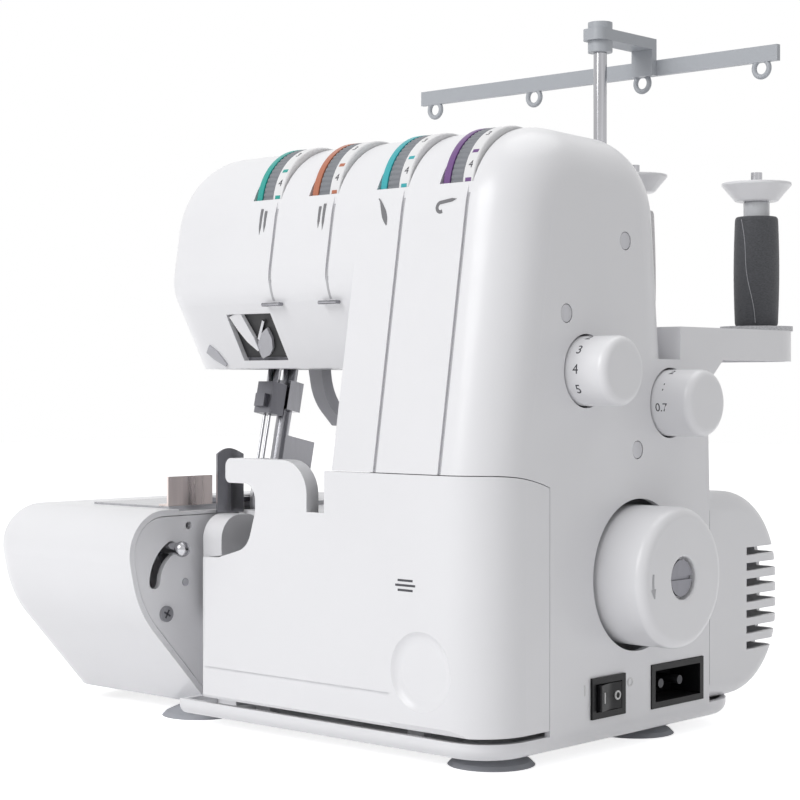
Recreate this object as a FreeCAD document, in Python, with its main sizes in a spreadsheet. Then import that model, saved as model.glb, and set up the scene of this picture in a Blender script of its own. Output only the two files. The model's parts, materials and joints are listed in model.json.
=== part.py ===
import FreeCAD, Part
import math
import os
import re

from FreeCAD import Placement, Rotation, Vector

# Serger (overlock) machine in millimetres: +X operator's right, +Y back, +Z up, feet on Z = 0.

doc = FreeCAD.newDocument("Serger")
sheet = doc.addObject("Spreadsheet::Sheet", "Dims")

driving = {
    # casing
    "wall": 3.0,
    "seam": 0.4,
    "panel_x": 148.4,
    "column_left": 54.0,
    "head_left": -90.0,
    "front_y": -121.0,
    "front_lean": 9.0,
    "top_z": 292.0,
    "top_rear_y": 14.0,
    "rear_y": 24.0,
    "top_round": 46.0,
    "side_round": 26.0,
    "chin_z": 220.0,
    "chin_depth": 22.0,
    "head_bottom": 180.0,
    "lower_rear_y": 50.0,
    "bulge_y": 119.0,
    "bulge_top": 118.0,
    "bulge_left": 20.0,
    "bulge_round": 46.0,
    "base_top": 14.0,
    "foot_height": 6.0,
    "foot_radius": 20.0,
    "foot_right_x": 121.0,
    "foot_left_x": -76.0,
    "foot_front_y": -86.0,
    "foot_rear_y": 24.0,
    "base_left": -146.0,
    "base_front": -117.0,
    "base_right": 147.0,
    "base_step_x": -57.0,
    "base_step_y": -91.5,
    "base_round": 6.0,
    "lug_y": -108.0,
    # looper cover
    "cover_top": 132.0,
    "cover_left": -38.0,
    "cover_side_y": -78.0,
    "cover_low": 17.0,
    "ledge_z": 34.0,
    "ledge_depth": 1.5,
    "cover_step_z": 112.0,
    # bed
    "bed_left": -174.0,
    "bed_right": -58.0,
    "bed_nose": -153.44,
    "bed_top": 109.0,
    "bed_rear": 50.0,
    "bed_foot_y": -96.0,
    "bed_low": 8.0,
    "bed_round": 18.0,
    "base_rear": 84.0,
    "hinge_pin": 1.5,
    # side panel fittings
    "switch_y": -47.0,
    "switch_z": 19.0,
    "switch_width": 24.0,
    "switch_height": 17.0,
    "inlet_y": 0.0,
    "inlet_z": 17.0,
    "inlet_width": 44.0,
    "inlet_height": 21.0,
    "screw_head": 4.0,
    "rocker_pin": 1.2,
    "vent_y": 84.0,
    "vent_z": 37.0,
    "vent_pitch": 8.0,
    "vent_height": 4.0,
    "cap_z": 268.5,
    # bed fittings
    "plate_left": -126.0,
    "plate_right": -66.0,
    "plate_front": -116.0,
    "plate_rear": -22.0,
    "plate_sink": 1.5,
    "plate_thick": 2.5,
    "panel_back": -82.0,
    "lever_y": -112.0,
    "lever_z": 72.0,
    "lever_reach": 20.0,
    "lever_pin": 2.0,
    "panel_screw_y": -125.0,
    "panel_screw_z": 57.0,
    "dog_top": 109.6,
    "bush_wall": 3.0,
    "stem_radius": 5.0,
    "lift_y": -3.0,
    "lift_z": 188.0,
    "lift_pin": 1.6,
    "knife_y": -20.0,
    "knife_z": 72.0,
    "knife_pin": 3.0,
    "looper_x": -40.0,
    "looper_z": 46.0,
    "looper_pin": 3.0,
    # spool tray and pins
    "tray_top": 200.0,
    "tray_thick": 16.0,
    "tray_rear": 148.5,
    "tray_left": -132.0,
    "tray_corner": 30.0,
    "pin_y": 124.0,
    "pin_right": 129.0,
    "pin_pitch": 79.0,
    "pin_radius": 3.0,
    "pin_height": 84.0,
    "cushion_radius": 19.0,
    "cushion_thick": 2.5,
    # handwheel and drive
    "shaft_y": -10.0,
    "shaft_z": 82.0,
    "shaft_radius": 6.0,
    "fit_gap": 0.05,
    "wheel_radius": 33.0,
    "wheel_face": 174.0,
    "wheel_gap": 3.0,
    "motor_y": 82.0,
    "motor_z": 66.0,
    "motor_radius": 28.0,
    "belt_x": 118.0,
    "belt_width": 8.0,
    "belt_thick": 2.0,
    "belt_gap": 0.35,
    "big_pulley": 26.0,
    "small_pulley": 9.0,
    # knobs and dials
    "knob_radius": 16.0,
    "knob_gap": 1.0,
    "knob_face": 170.0,
    "knob_depth": 35.0,
    "stem_length": 20.0,
    "length_y": -51.0,
    "length_z": 178.0,
    "feed_y": 16.0,
    "feed_z": 163.0,
    "groove_right": 120.0,
    "groove_pitch": 39.0,
    "groove_middle": 45.0,
    "groove_width": 2.0,
    "groove_depth": 1.2,
    "dial_radius": 32.0,
    "dial_width": 12.0,
    "ring_width": 6.0,
    "dial_y": -66.0,
    "dial_z": 259.0,
    "dial_gap": 1.0,
    "axle_radius": 4.0,
    # sewing head
    "needle_x": -72.0,
    "needle_y": -51.0,
    "tilt": 12.0,
    "needle_bar_radius": 3.5,
    "presser_y": -34.0,
    "presser_radius": 4.0,
    # thread stand
    "post_x": 59.0,
    "post_y": 80.0,
    "post_radius": 3.6,
    "sleeve_wall": 1.6,
    "sleeve_top": 285.0,
    "post_top": 356.0,
    "bar_z": 342.0,
    "bar_height": 8.5,
    "bar_thick": 3.0,
    "bar_reach": 10.3,
    "eye_right": 132.0,
    "eye_pitch": 76.5,
    "eye_radius": 4.5,
    "eye_wire": 1.4,
}
for row, (alias, value) in enumerate(driving.items(), start=1):
    sheet.set(f"A{row}", alias)
    sheet.set(f"B{row}", str(value))
    sheet.setAlias(f"B{row}", alias)
doc.recompute()


class Sizes:
    # Reads a driving dimension by its alias.
    def __getattr__(self, alias):
        return float(sheet.get(alias))


d = Sizes()
alias_word = re.compile(r"\b(" + "|".join(driving) + r")\b")
along = {
    "x": Rotation(Vector(0, 1, 0), 90),
    "y": Rotation(Vector(1, 0, 0), -90),
    "z": Rotation(),
}
lean_back = Rotation(Vector(1, 0, 0), -d.tilt)
parts = {}


# Helpers: formulas are written with bare aliases and bound to the sheet.


def keep(label, obj):
    obj.Label = label
    parts[label] = obj
    return obj


def bind(obj, **formulas):
    for prop, formula in formulas.items():
        obj.setExpression(prop.replace("__", "."), alias_word.sub(r"Dims.\1", str(formula)))
    return obj


def at(obj, x=0, y=0, z=0):
    return bind(obj, Placement__Base__x=x, Placement__Base__y=y, Placement__Base__z=z)


def box(x, y, z, dx, dy, dz):
    obj = doc.addObject("Part::Box", "Box")
    bind(obj, Length=dx, Width=dy, Height=dz)
    return at(obj, x, y, z)


def rod(x, y, z, radius, length, axis="z", turn=None):
    obj = doc.addObject("Part::Cylinder", "Rod")
    obj.Placement = Placement(Vector(), turn or along[axis])
    bind(obj, Radius=radius, Height=length)
    return at(obj, x, y, z)


def fuse(*shapes):
    obj = doc.addObject("Part::MultiFuse", "Union")
    obj.Shapes = list(shapes)
    obj.Refine = True
    return obj


def cut(base, *tools):
    obj = doc.addObject("Part::Cut", "Cut")
    obj.Base = base
    obj.Tool = tools[0] if len(tools) == 1 else fuse(*tools)
    return obj


def group(*shapes):
    obj = doc.addObject("Part::Compound", "Group")
    obj.Links = list(shapes)
    return obj


def outline(corners):
    # Closed outline from (u, v, radius) corners, with a tangent arc at each rounded corner.
    count = len(corners)
    starts, middles, ends = [], [], []
    for i, (u, v, radius) in enumerate(corners):
        corner = Vector(u, v, 0)
        before = (Vector(*corners[i - 1][:2], 0) - corner).normalize()
        after = (Vector(*corners[(i + 1) % count][:2], 0) - corner).normalize()
        half = before.getAngle(after) / 2
        starts.append(corner + before * (radius / math.tan(half)))
        ends.append(corner + after * (radius / math.tan(half)))
        middles.append(corner + (before + after).normalize() * (radius / math.sin(half) - radius))
    edges = []
    for i in range(count):
        if corners[i][2] > 0:
            edges.append(Part.Arc(starts[i], middles[i], ends[i]))
        if ends[i].distanceToPoint(starts[(i + 1) % count]) > 1e-6:
            edges.append(Part.LineSegment(ends[i], starts[(i + 1) % count]))
    return edges


def inset(corners, gap):
    # The same outline, counter-clockwise, moved inwards by a gap.
    count = len(corners)
    moved = []
    for i, (u, v, radius) in enumerate(corners):
        here = Vector(u, v, 0)
        into = (here - Vector(*corners[i - 1][:2], 0)).normalize()
        out = (Vector(*corners[(i + 1) % count][:2], 0) - here).normalize()
        turn = into.cross(out).z
        side_in = Vector(-into.y, into.x, 0)
        side_out = Vector(-out.y, out.x, 0)
        shift = (side_in + side_out) * (gap / (1 + side_in.dot(side_out)))
        new_radius = max(radius - gap, 0) if turn > 0 else radius + gap * (radius > 0)
        moved.append((u + shift.x, v + shift.y, new_radius))
    return moved


def prism(plane, corners, start, length, rounds=None, radius=None):
    # A padded outline on an origin plane; rounds tells which edges get the fillet.
    body = doc.addObject("PartDesign::Body", "Body")
    sketch = body.newObject("Sketcher::SketchObject", "Sketch")
    role = f"{plane.upper()}_Plane"
    support = [f for f in body.Origin.OriginFeatures if f.Role == role][0]
    sketch.AttachmentSupport = (support, [""])
    sketch.MapMode = "FlatFace"
    bind(sketch, AttachmentOffset__Base__z=start)
    for edge in outline(corners):
        sketch.addGeometry(edge, False)
    pad = body.newObject("PartDesign::Pad", "Pad")
    pad.Profile = sketch
    bind(pad, Length=length)
    doc.recompute()
    if rounds:
        names = [f"Edge{i}" for i, e in enumerate(pad.Shape.Edges, start=1) if rounds(e)]
        fillet = body.newObject("PartDesign::Fillet", "Round")
        fillet.Base = (pad, names)
        bind(fillet, Radius=radius)
        doc.recompute()
    return body


def lathe(corners, axis, x, y, z):
    # An outline of (radius, height, round) corners turned about an axis.
    body = doc.addObject("PartDesign::Body", "Turned")
    sketch = body.newObject("Sketcher::SketchObject", "Sketch")
    support = [f for f in body.Origin.OriginFeatures if f.Role == "XZ_Plane"][0]
    sketch.AttachmentSupport = (support, [""])
    sketch.MapMode = "FlatFace"
    for edge in outline(corners):
        sketch.addGeometry(edge, False)
    turn = body.newObject("PartDesign::Revolution", "Turn")
    turn.Profile = sketch
    turn.ReferenceAxis = (sketch, ["V_Axis"])
    turn.Angle = 360
    body.Placement = Placement(Vector(), along[axis])
    doc.recompute()
    return at(body, x, y, z)


def middle(edge):
    return edge.valueAt((edge.FirstParameter + edge.LastParameter) / 2)


def end_edges(x, keep_edge):
    # Edges of an end face at a given X whose midpoint passes a test.
    def test(edge):
        points = [v.Point for v in edge.Vertexes] + [middle(edge)]
        return all(abs(p.x - x) < 1e-4 for p in points) and keep_edge(middle(edge))

    return test


# Main casing: the column, the head and the roof of the bed, as one thin moulding.

lean = math.tan(math.radians(d.front_lean))
front_top_y = d.front_y + (d.top_z - d.cover_top) * lean
chin_y = d.front_y + (d.chin_z - d.cover_top) * lean
shelf_z = d.tray_top - d.tray_thick
top_fall = 4.0
shelf_reach = 12.0
rear_round = 40.0
rear_slope = (d.rear_y - d.top_rear_y) / (d.top_z - top_fall - shelf_z)
head_rear_y = d.rear_y + (shelf_z - d.head_bottom) * rear_slope

column_outline = [
    (d.lower_rear_y, d.base_top, 0),
    (d.lower_rear_y, d.bulge_top, 0),
    (d.lower_rear_y - 2, shelf_z - shelf_reach, shelf_reach),
    (d.lower_rear_y + shelf_reach, shelf_z, 0),
    (d.rear_y, shelf_z, 0),
    (d.top_rear_y, d.top_z - top_fall, rear_round),
    (front_top_y, d.top_z, d.top_round),
    (d.front_y, d.cover_top, 0),
    (d.front_y, d.base_top, 0),
]
head_outline = [
    (head_rear_y, d.head_bottom, 0),
    (d.top_rear_y, d.top_z - top_fall, rear_round),
    (front_top_y, d.top_z, d.top_round),
    (chin_y, d.chin_z, d.side_round + 1),
    (chin_y + d.chin_depth, d.head_bottom, 0),
]


def lowered(corners, drop):
    # Carries the open bottom of a hollow through the floor.
    floor = min(v for u, v, r in corners)
    return [(u, v - drop if abs(v - floor) < 1e-6 else v, r) for u, v, r in corners]


def column_rounds(x):
    return end_edges(x, lambda p: p.y < d.rear_y - 0.5 and p.z > d.base_top + 1)


def head_rounds(x):
    return end_edges(x, lambda p: p.z > d.head_bottom + d.wall + 1)


column = prism(
    "yz", column_outline, "column_left", "panel_x - column_left", column_rounds(d.panel_x), "side_round",
)
column_hollow = prism(
    "yz", lowered(inset(column_outline, d.wall), 2 * d.wall), "column_left + wall",
    "panel_x - column_left - 2 * wall", column_rounds(d.panel_x - d.wall), "side_round - wall",
)
head = prism(
    "yz", head_outline, "head_left", "column_left - head_left + wall", head_rounds(d.head_left),
    "side_round",
)
head_hollow = prism(
    "yz", inset(head_outline, d.wall), "head_left + wall", "column_left - head_left + wall",
    head_rounds(d.head_left + d.wall), "side_round - wall",
)
bed_roof = box("bed_right + wall", "cover_side_y", "base_top", "column_left - bed_right",
               "lower_rear_y - cover_side_y", "bed_top - 2 - base_top")
bed_hollow = box("bed_right - wall", "cover_side_y - wall", "base_top - wall",
                 "column_left - bed_right + 4 * wall", "lower_rear_y - cover_side_y",
                 "bed_top - 2 - base_top")


def groove_formula(index):
    # Thread paths from left to right: two pairs with a wider space between them.
    formula = f"groove_right - {3 - index} * groove_pitch"
    return formula + (" - groove_middle + groove_pitch" if index < 2 else "")


groove_cuts = []
for index in range(4):
    low = d.chin_z if index < 2 else d.cover_top
    slot = doc.addObject("Part::Box", "Groove")
    slot.Placement = Placement(Vector(), Rotation(Vector(1, 0, 0), -d.front_lean))
    bind(slot, Length="groove_width", Width="2 * groove_depth", Height=f"top_z - {low}")
    start_y = d.front_y + (low - d.cover_top) * lean
    groove_x = groove_formula(index)
    groove_cuts.append(at(slot, f"{groove_x} - groove_width / 2", f"{start_y} - groove_depth", low))
    groove_cuts.append(
        rod(f"{groove_x} - dial_width - ring_width - dial_gap", "dial_y", "dial_z",
            "dial_radius + dial_gap", "dial_width + ring_width + 2 * dial_gap", "x")
    )

screw_spots = [
    ("length_y + 30", "length_z + 61"),
    ("length_y - 15", "length_z + 26"),
    ("feed_y - 27", "feed_z - 22"),
]
screw_hole = 2.2
side_cuts = [
    rod("panel_x - 4 * wall", "shaft_y", "shaft_z", "wheel_radius + wheel_gap", "6 * wall", "x"),
    rod("panel_x - 4 * wall", "length_y", "length_z", "knob_radius + knob_gap", "6 * wall", "x"),
    rod("panel_x - 4 * wall", "feed_y", "feed_z", "knob_radius + knob_gap", "6 * wall", "x"),
    box("panel_x - 4 * wall", "switch_y - seam / 2", "switch_z - seam / 2", "6 * wall",
        "switch_width + seam", "switch_height + seam"),
    box("panel_x - 4 * wall", "inlet_y - seam / 2", "inlet_z - seam / 2", "6 * wall",
        "inlet_width + seam", "inlet_height + seam"),
]
for y, z in screw_spots:
    side_cuts.append(rod("panel_x - 4 * wall", y, z, screw_hole, "6 * wall", "x"))
    side_cuts.append(rod("panel_x - wall / 2", y, z, "screw_head + seam", "wall", "x"))

hinge_y = "(front_y + 6.5)"
hinge_z = "(cover_low + 4)"


def swing_corner(clear):
    # What stands outside the arc that the cover's side wall sweeps as it opens.
    return cut(
        box("column_left", hinge_y, "cover_step_z", "panel_x - column_left + 20", "cover_side_y - front_y",
            "20 * wall"),
        rod("column_left - 1", hinge_y, hinge_z, f"cover_top - cover_low - 4 + {clear}", "panel_x", "x"),
    )


front_box = box("bed_right - 20", "front_y - 20", "base_top - 20", "panel_x - bed_right + 40",
                "cover_side_y - front_y + 20", "cover_top - base_top + 20")
front_opening = cut(front_box, swing_corner(0))
head_opening = box("needle_x - 13", "needle_y - 20", "head_bottom - 2 * wall", 33, "lift_y - needle_y + 38",
                   "26 + 2 * wall")
takeup_window = box(-41, chin_y - 10, "head_bottom + 4", 32, 40, 23)
belt_opening = box("belt_x - 8", "lower_rear_y - 4 * wall", "motor_z - 22", "belt_width + 16",
                   "8 * wall", 48)
shell = cut(fuse(column, head, bed_roof), fuse(column_hollow, head_hollow, bed_hollow))
openings = [front_opening, head_opening, takeup_window, belt_opening]
keep("main_casing", cut(shell, *openings, *groove_cuts, *side_cuts))

# Looper cover: a door round the lower front and its right corner, hinged along its low edge.

cover_plan = [
    (d.cover_left, d.cover_side_y - d.seam, 0),
    (d.cover_left, d.front_y, 5),
    (d.panel_x, d.front_y, d.side_round),
    (d.panel_x, d.cover_side_y - d.seam, 0),
]
cover_inner = inset(cover_plan, d.wall)
cover_inner[0] = (cover_inner[0][0], d.cover_side_y + d.wall, 0)
cover_inner[3] = (cover_inner[3][0], d.cover_side_y + d.wall, 0)
cover_height = "cover_top - seam - cover_low"
sweep = [
    (d.cover_left - 10, 86, 0), (-24, 87, 14), (-3, 93, 12), (3, d.cover_step_z, 4),
    (49, d.cover_step_z, 0), (49, d.cover_top + 20, 0), (d.cover_left - 10, d.cover_top + 20, 0),
]
low_bevel = [
    (d.front_y - 1, d.cover_low - 1, 0),
    (d.front_y + d.wall + 1, d.cover_low - 1, 0),
    (d.front_y - 1, d.cover_low + d.wall + 1, 0),
]
cover_shell = cut(
    prism("xy", cover_plan, "cover_low", cover_height),
    prism("yz", low_bevel, "cover_left - 1", "panel_x - cover_left + 2"),
    prism("xy", cover_inner, "cover_low - wall", f"{cover_height} + 2 * wall"),
    prism("xz", sweep, "-front_y - 60", 90),
    swing_corner("-seam"),
)
guard_plan = [
    (2, d.cover_step_z - 8, 0), (37, d.cover_step_z - 8, 0), (37, 136, 16), (-19, 136, 4), (-19, 124, 3),
    (2, 124, 8),
]
guard = prism("xz", guard_plan, "-front_y - 8.5", 8)
barrels = []
lugs = []
pins = []
for barrel_x in (0.0, 100.0):
    barrels.append(rod(barrel_x, hinge_y, hinge_z, 3, 10, "x"))
    barrels.append(box(barrel_x, "front_y + 2", "cover_low + 2", 10, 4.5, 4))
    lugs.append(rod(barrel_x - 10.5, hinge_y, hinge_z, 3, 10, "x"))
    lugs.append(box(barrel_x - 10.5, hinge_y, "cover_low + 1", 10, "lug_y + 5 - front_y - 6.5", 6))
    lugs.append(box(barrel_x - 10.5, "lug_y", "foot_height + 1", 10, 5, "cover_low + 6 - foot_height"))
    pins.append(rod(barrel_x - 10.5, hinge_y, hinge_z, "hinge_pin", 20.5, "x"))
cover_bores = [rod(x - 1, hinge_y, hinge_z, "hinge_pin + fit_gap", 12, "x") for x in (0.0, 100.0)]
lug_bores = [rod(x - 11, hinge_y, hinge_z, "hinge_pin", 11, "x") for x in (0.0, 100.0)]
ledge = box("cover_left - 1", "front_y - 1", "cover_low - 1", "91 - cover_left", "ledge_depth + 1",
            "ledge_z - cover_low")
pull_form = [(0, -8, 0), (20, -8, 0), (20, 2, 7), (0, 2, 0)]
finger_pull = lathe(pull_form, "y", 109, "front_y", "ledge_z + 10")
keep("looper_cover", cut(fuse(cover_shell, guard, *barrels), ledge, finger_pull, *cover_bores))

# Base tray with the hinge lugs, and the four feet.

base_plan = [
    (d.base_left, d.base_step_y, 12),
    (d.base_step_x, d.base_step_y, 0),
    (d.base_step_x, d.base_front, 0),
    (d.base_right, d.base_front, 24),
    (d.base_right, d.base_rear, 24),
    (d.base_left, d.base_rear, 24),
]


def base_edge(edge):
    # The lower rim, but for the short step beside the bed.
    low = all(abs(v.Point.z - d.foot_height) < 1e-4 for v in edge.Vertexes)
    return low and abs(middle(edge).x - d.base_step_x) > 1e-4


base_shell = cut(
    prism("xy", base_plan, "foot_height", "base_top - foot_height", base_edge, "base_round"),
    prism("xy", inset(base_plan, d.wall), "foot_height + wall", "base_top"),
)
keep("base_tray", cut(fuse(base_shell, *lugs), *lug_bores))
foot_form = [
    (0, 0, 0), (d.foot_radius, 0, 0), (d.foot_radius - 2, 2, 1), (9, d.foot_height, 4), (0, d.foot_height, 0),
]
keep("rubber_feet", group(*[
    lathe(foot_form, "z", x, y, 0)
    for x in ("foot_left_x", "foot_right_x")
    for y in ("foot_front_y", "foot_rear_y")
]))

# Motor cover: the rounded bulge at the back, with its vents.

bulge_outline = [
    (d.lower_rear_y + d.seam, d.base_top + d.seam, 0),
    (d.bulge_y, d.base_top + d.seam, d.bulge_round - 4),
    (d.bulge_y, d.bulge_top, d.bulge_round),
    (d.lower_rear_y + d.seam, d.bulge_top, 0),
]
bulge_inner = inset(bulge_outline, d.wall)
bulge_inner[0] = (d.lower_rear_y - d.wall, bulge_inner[0][1], 0)
bulge_inner[3] = (d.lower_rear_y - d.wall, bulge_inner[3][1], 0)
bulge_rounds = end_edges(d.panel_x, lambda p: p.y > d.lower_rear_y + 1)
vents = [
    box("panel_x - 14", "vent_y", f"vent_z + {i} * vent_pitch", 20, 60, "vent_height") for i in range(7)
]
keep("motor_cover", cut(
    prism("yz", bulge_outline, "bulge_left", "panel_x - bulge_left", bulge_rounds, 10),
    prism("yz", bulge_inner, "bulge_left + wall", "panel_x - bulge_left - 2 * wall"),
    *vents,
))

# Spool tray with pins, cushions and caps.

tray_plan = [
    (d.tray_left, d.rear_y + d.seam, 0),
    (d.panel_x, d.rear_y + d.seam, 0),
    (d.panel_x, d.tray_rear, d.tray_corner),
    (d.tray_left, d.tray_rear, d.tray_corner),
]
hollow_front = d.lower_rear_y + shelf_reach + d.wall
tray_inner = inset([(u, max(v, hollow_front), r) for u, v, r in tray_plan], d.wall)
tray_solid = prism("xy", tray_plan, "tray_top - tray_thick", "tray_thick")
tray_hollow = prism("xy", tray_inner, "tray_top - tray_thick - wall", "tray_thick")
keep("spool_tray", cut(tray_solid, tray_hollow))
pin_x = [f"pin_right - {3 - i} * pin_pitch" for i in range(4)]
pin_rise = [0, 0, 10, 0]
keep("spool_pins", group(*[
    rod(x, "pin_y", "tray_top", "pin_radius", f"pin_height + {rise}") for x, rise in zip(pin_x, pin_rise)
]))
keep("spool_cushions", group(*[
    cut(rod(x, "pin_y", "tray_top", "cushion_radius", "cushion_thick"),
        rod(x, "pin_y", "tray_top - 1", "pin_radius + seam", "cushion_thick + 2"))
    for x in pin_x
]))
bore = d.pin_radius + d.seam
cap_form = [
    (bore, 0, 0), (11, 0, 2), (18.3, 8.6, 0.6), (18.3, 10, 0.5), (16.8, 10, 0.5), (9.5, 2.6, 1.5),
    (6, 2.6, 1), (6, 7, 0.6), (bore, 7, 0),
]
keep("spool_caps", group(*[
    lathe(cap_form, "z", x, "pin_y", f"cap_z + {rise}") for x, rise in zip(pin_x, pin_rise)
]))
core_top = d.cap_z - d.tray_top - d.cushion_thick
cone_top = core_top + pin_rise[2]
spool_form = [
    (bore, 0, 0), (11.5, 0, 1), (12.3, 29, 60), (11.5, 58, 1), (7, 58, 0), (7, core_top, 0),
    (bore, core_top, 0),
]
keep("thread_spool", lathe(spool_form, "z", pin_x[3], "pin_y", "tray_top + cushion_thick"))
cone_form = [
    (bore, 0, 0), (12.4, 0, 1.5), (11.6, 66, 1.5), (7, 66, 0), (7, cone_top, 0), (bore, cone_top, 0),
]
keep("thread_cone", lathe(cone_form, "z", pin_x[2], "pin_y", "tray_top + cushion_thick"))

# Telescopic thread stand.

sleeve_bore = "post_radius + fit_gap"
keep("stand_sleeve", cut(
    fuse(rod("post_x", "post_y", "tray_top", "post_radius + sleeve_wall", "sleeve_top - tray_top"),
         rod("post_x", "post_y", "sleeve_top - 9", "post_radius + sleeve_wall + 3", 9)),
    rod("post_x", "post_y", "tray_top + 2", sleeve_bore, "sleeve_top - tray_top"),
))
keep("stand_post", rod("post_x", "post_y", "sleeve_top - 12", "post_radius", "post_top - sleeve_top + 12"))
cap_plan = [
    (d.post_x - 7, d.post_y - 9, 5), (d.post_x + 7, d.post_y - 9, 5), (d.post_x + 7, d.pin_y - 1.5, 2),
    (d.post_x - 7, d.pin_y - 1.5, 2),
]
drop_low = "min(post_top; bar_z)"
drop_high = "max(post_top + 6; bar_z + bar_height)"
bracket = fuse(
    prism("xy", cap_plan, "post_top", 6),
    rod("post_x", "post_y", "post_top - 6", "post_radius + 3", 16),
    box("post_x - 7", "pin_y - 5.5", drop_low, 14, 4, f"{drop_high} - {drop_low}"),
)
keep("stand_bracket", cut(bracket, rod("post_x", "post_y", "post_top - 20", "post_radius", 20)))
eyes = []
for x in [f"eye_right - {3 - i} * eye_pitch" for i in range(4)]:
    eye = doc.addObject("Part::Torus", "Eye")
    eye.Placement = Placement(Vector(), along["y"])
    bind(eye, Radius1="eye_radius", Radius2="eye_wire")
    eyes.append(at(eye, x, "pin_y", "bar_z - eye_radius + eye_wire"))
bar_left = "eye_right - 3 * eye_pitch - bar_reach"
bar_span = "3 * eye_pitch + 2 * bar_reach"
keep("guide_bar", fuse(
    box(bar_left, "pin_y - bar_thick / 2", "bar_z", bar_span, "bar_thick", "bar_height"),
    *eyes,
))

# Bed cover: a rounded nose at the front left, closed on its right by a side panel.

bed_outline = [
    (d.bed_rear, d.base_top + d.seam / 2, 0),
    (d.bed_rear, d.bed_top, 6),
    (d.bed_nose, d.bed_top, 22),
    (d.bed_nose + 10, d.bed_top - 49, 55),
    (d.bed_foot_y, d.bed_low, 0),
]


def carried(corner, toward, height):
    # The point at a height on the line through two corners.
    share = (height - corner[1]) / (toward[1] - corner[1])
    return corner[0] + share * (toward[0] - corner[0]), height, 0


def bed_end(x):
    return end_edges(x, lambda p: p.z > d.base_top + 1 and p.y < d.bed_rear - 1 and p.y > d.bed_nose - 1)


bed_inner = inset(bed_outline, d.wall)
bed_inner[0] = (bed_inner[0][0], 0, 0)
bed_inner[4] = carried(bed_inner[3], bed_inner[4], 0)
plate_opening = box("plate_left - seam", "plate_front - seam", "bed_top - plate_sink",
                    "plate_right - plate_left + 4 * wall", "plate_rear - plate_front + 2 * seam", "wall")
stitch_opening = box("needle_x - 14", "needle_y - 22", "bed_top - 2 * wall", "plate_right - needle_x + 30",
                     50, "3 * wall")
keep("bed_cover", cut(
    prism("yz", bed_outline, "bed_left", "bed_right - bed_left", bed_end(d.bed_left), "bed_round"),
    prism("yz", bed_inner, "bed_left + wall", "bed_right - bed_left", bed_end(d.bed_left + d.wall),
          "bed_round - wall"),
    plate_opening, stitch_opening,
))
panel_outline = inset(bed_outline, d.wall + d.seam)
panel_outline[0] = (d.panel_back, d.base_top + d.seam, 0)
panel_outline[1] = (d.panel_back, panel_outline[1][1], 0)
panel_outline[4] = carried(panel_outline[3], panel_outline[4], d.base_top + d.seam)
arc_slot = doc.addObject("Part::Feature", "ArcSlot")
slot_half = 3.6
slot_from, slot_to = 118.0, 176.0


def arc_point(angle, radius):
    turn = math.radians(angle)
    return Vector(0, d.lever_y + radius * math.cos(turn), d.lever_z + radius * math.sin(turn))


def arc_band(inner, outer, first, last):
    # A band of a ring about the lever's pivot, with round ends.
    half = (outer - inner) / 2
    mid = (inner + outer) / 2
    between = (first + last) / 2
    first_tip = arc_point(first - math.degrees(half / mid), mid)
    last_tip = arc_point(last + math.degrees(half / mid), mid)
    edges = [
        Part.Arc(arc_point(first, outer), arc_point(between, outer), arc_point(last, outer)).toShape(),
        Part.Arc(arc_point(last, outer), last_tip, arc_point(last, inner)).toShape(),
        Part.Arc(arc_point(last, inner), arc_point(between, inner), arc_point(first, inner)).toShape(),
        Part.Arc(arc_point(first, inner), first_tip, arc_point(first, outer)).toShape(),
    ]
    return Part.Face(Part.Wire(edges))


band = arc_band(d.lever_reach - slot_half, d.lever_reach + slot_half, slot_from, slot_to)
arc_slot.Shape = band.extrude(Vector(4 * d.wall, 0, 0))
at(arc_slot, "bed_right - 3 * wall")
keep("bed_panel", cut(
    prism("yz", panel_outline, "bed_right - wall - seam", "wall"), arc_slot,
    rod("bed_right - 3 * wall", "lever_y", "lever_z", "lever_pin + fit_gap", "6 * wall", "x"),
    rod("bed_right - 3 * wall", "panel_screw_y", "panel_screw_z", 2, "6 * wall", "x"),
    rod("bed_right - 3 * wall", "panel_screw_y + 15.4", "panel_screw_z + 43.5", 2, "6 * wall", "x"),
))
lever_x = "bed_right - 3 * wall"
slot_angle = math.radians(slot_from)
pin_offset_y = f"lever_y + lever_reach * {math.cos(slot_angle)}"
pin_offset_z = f"lever_z + lever_reach * {math.sin(slot_angle)}"
lever_arm = doc.addObject("Part::Box", "LeverArm")
lever_arm.Placement = Placement(Vector(), Rotation(Vector(1, 0, 0), slot_from))
bind(lever_arm, Length="wall", Width="lever_reach", Height=6)
arm_side = math.radians(slot_from - 90)
at(lever_arm, lever_x, f"lever_y + 3 * {math.cos(arm_side)}", f"lever_z + 3 * {math.sin(arm_side)}")
keep("release_lever", fuse(
    lever_arm,
    rod(lever_x, "lever_y", "lever_z", 6, "wall", "x"),
    rod(lever_x, "lever_y", "lever_z", "lever_pin", "3 * wall", "x"),
    rod(lever_x, pin_offset_y, pin_offset_z, 3, "3 * wall + 9", "x"),
))
keep("knife_housing", prism(
    "yz", [(d.cover_side_y, d.foot_height + d.wall, 0), (d.cover_side_y, d.bed_top - 3, 8),
           (-104, d.bed_top - 3, 12), (-104, 60, 10), (-94, 48, 8), (-94, d.foot_height + d.wall, 0)],
    "base_step_x + wall + seam", "cover_left - 2 - base_step_x - wall - seam",
))

# Needle plate, edge guide and feed dog.

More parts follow.
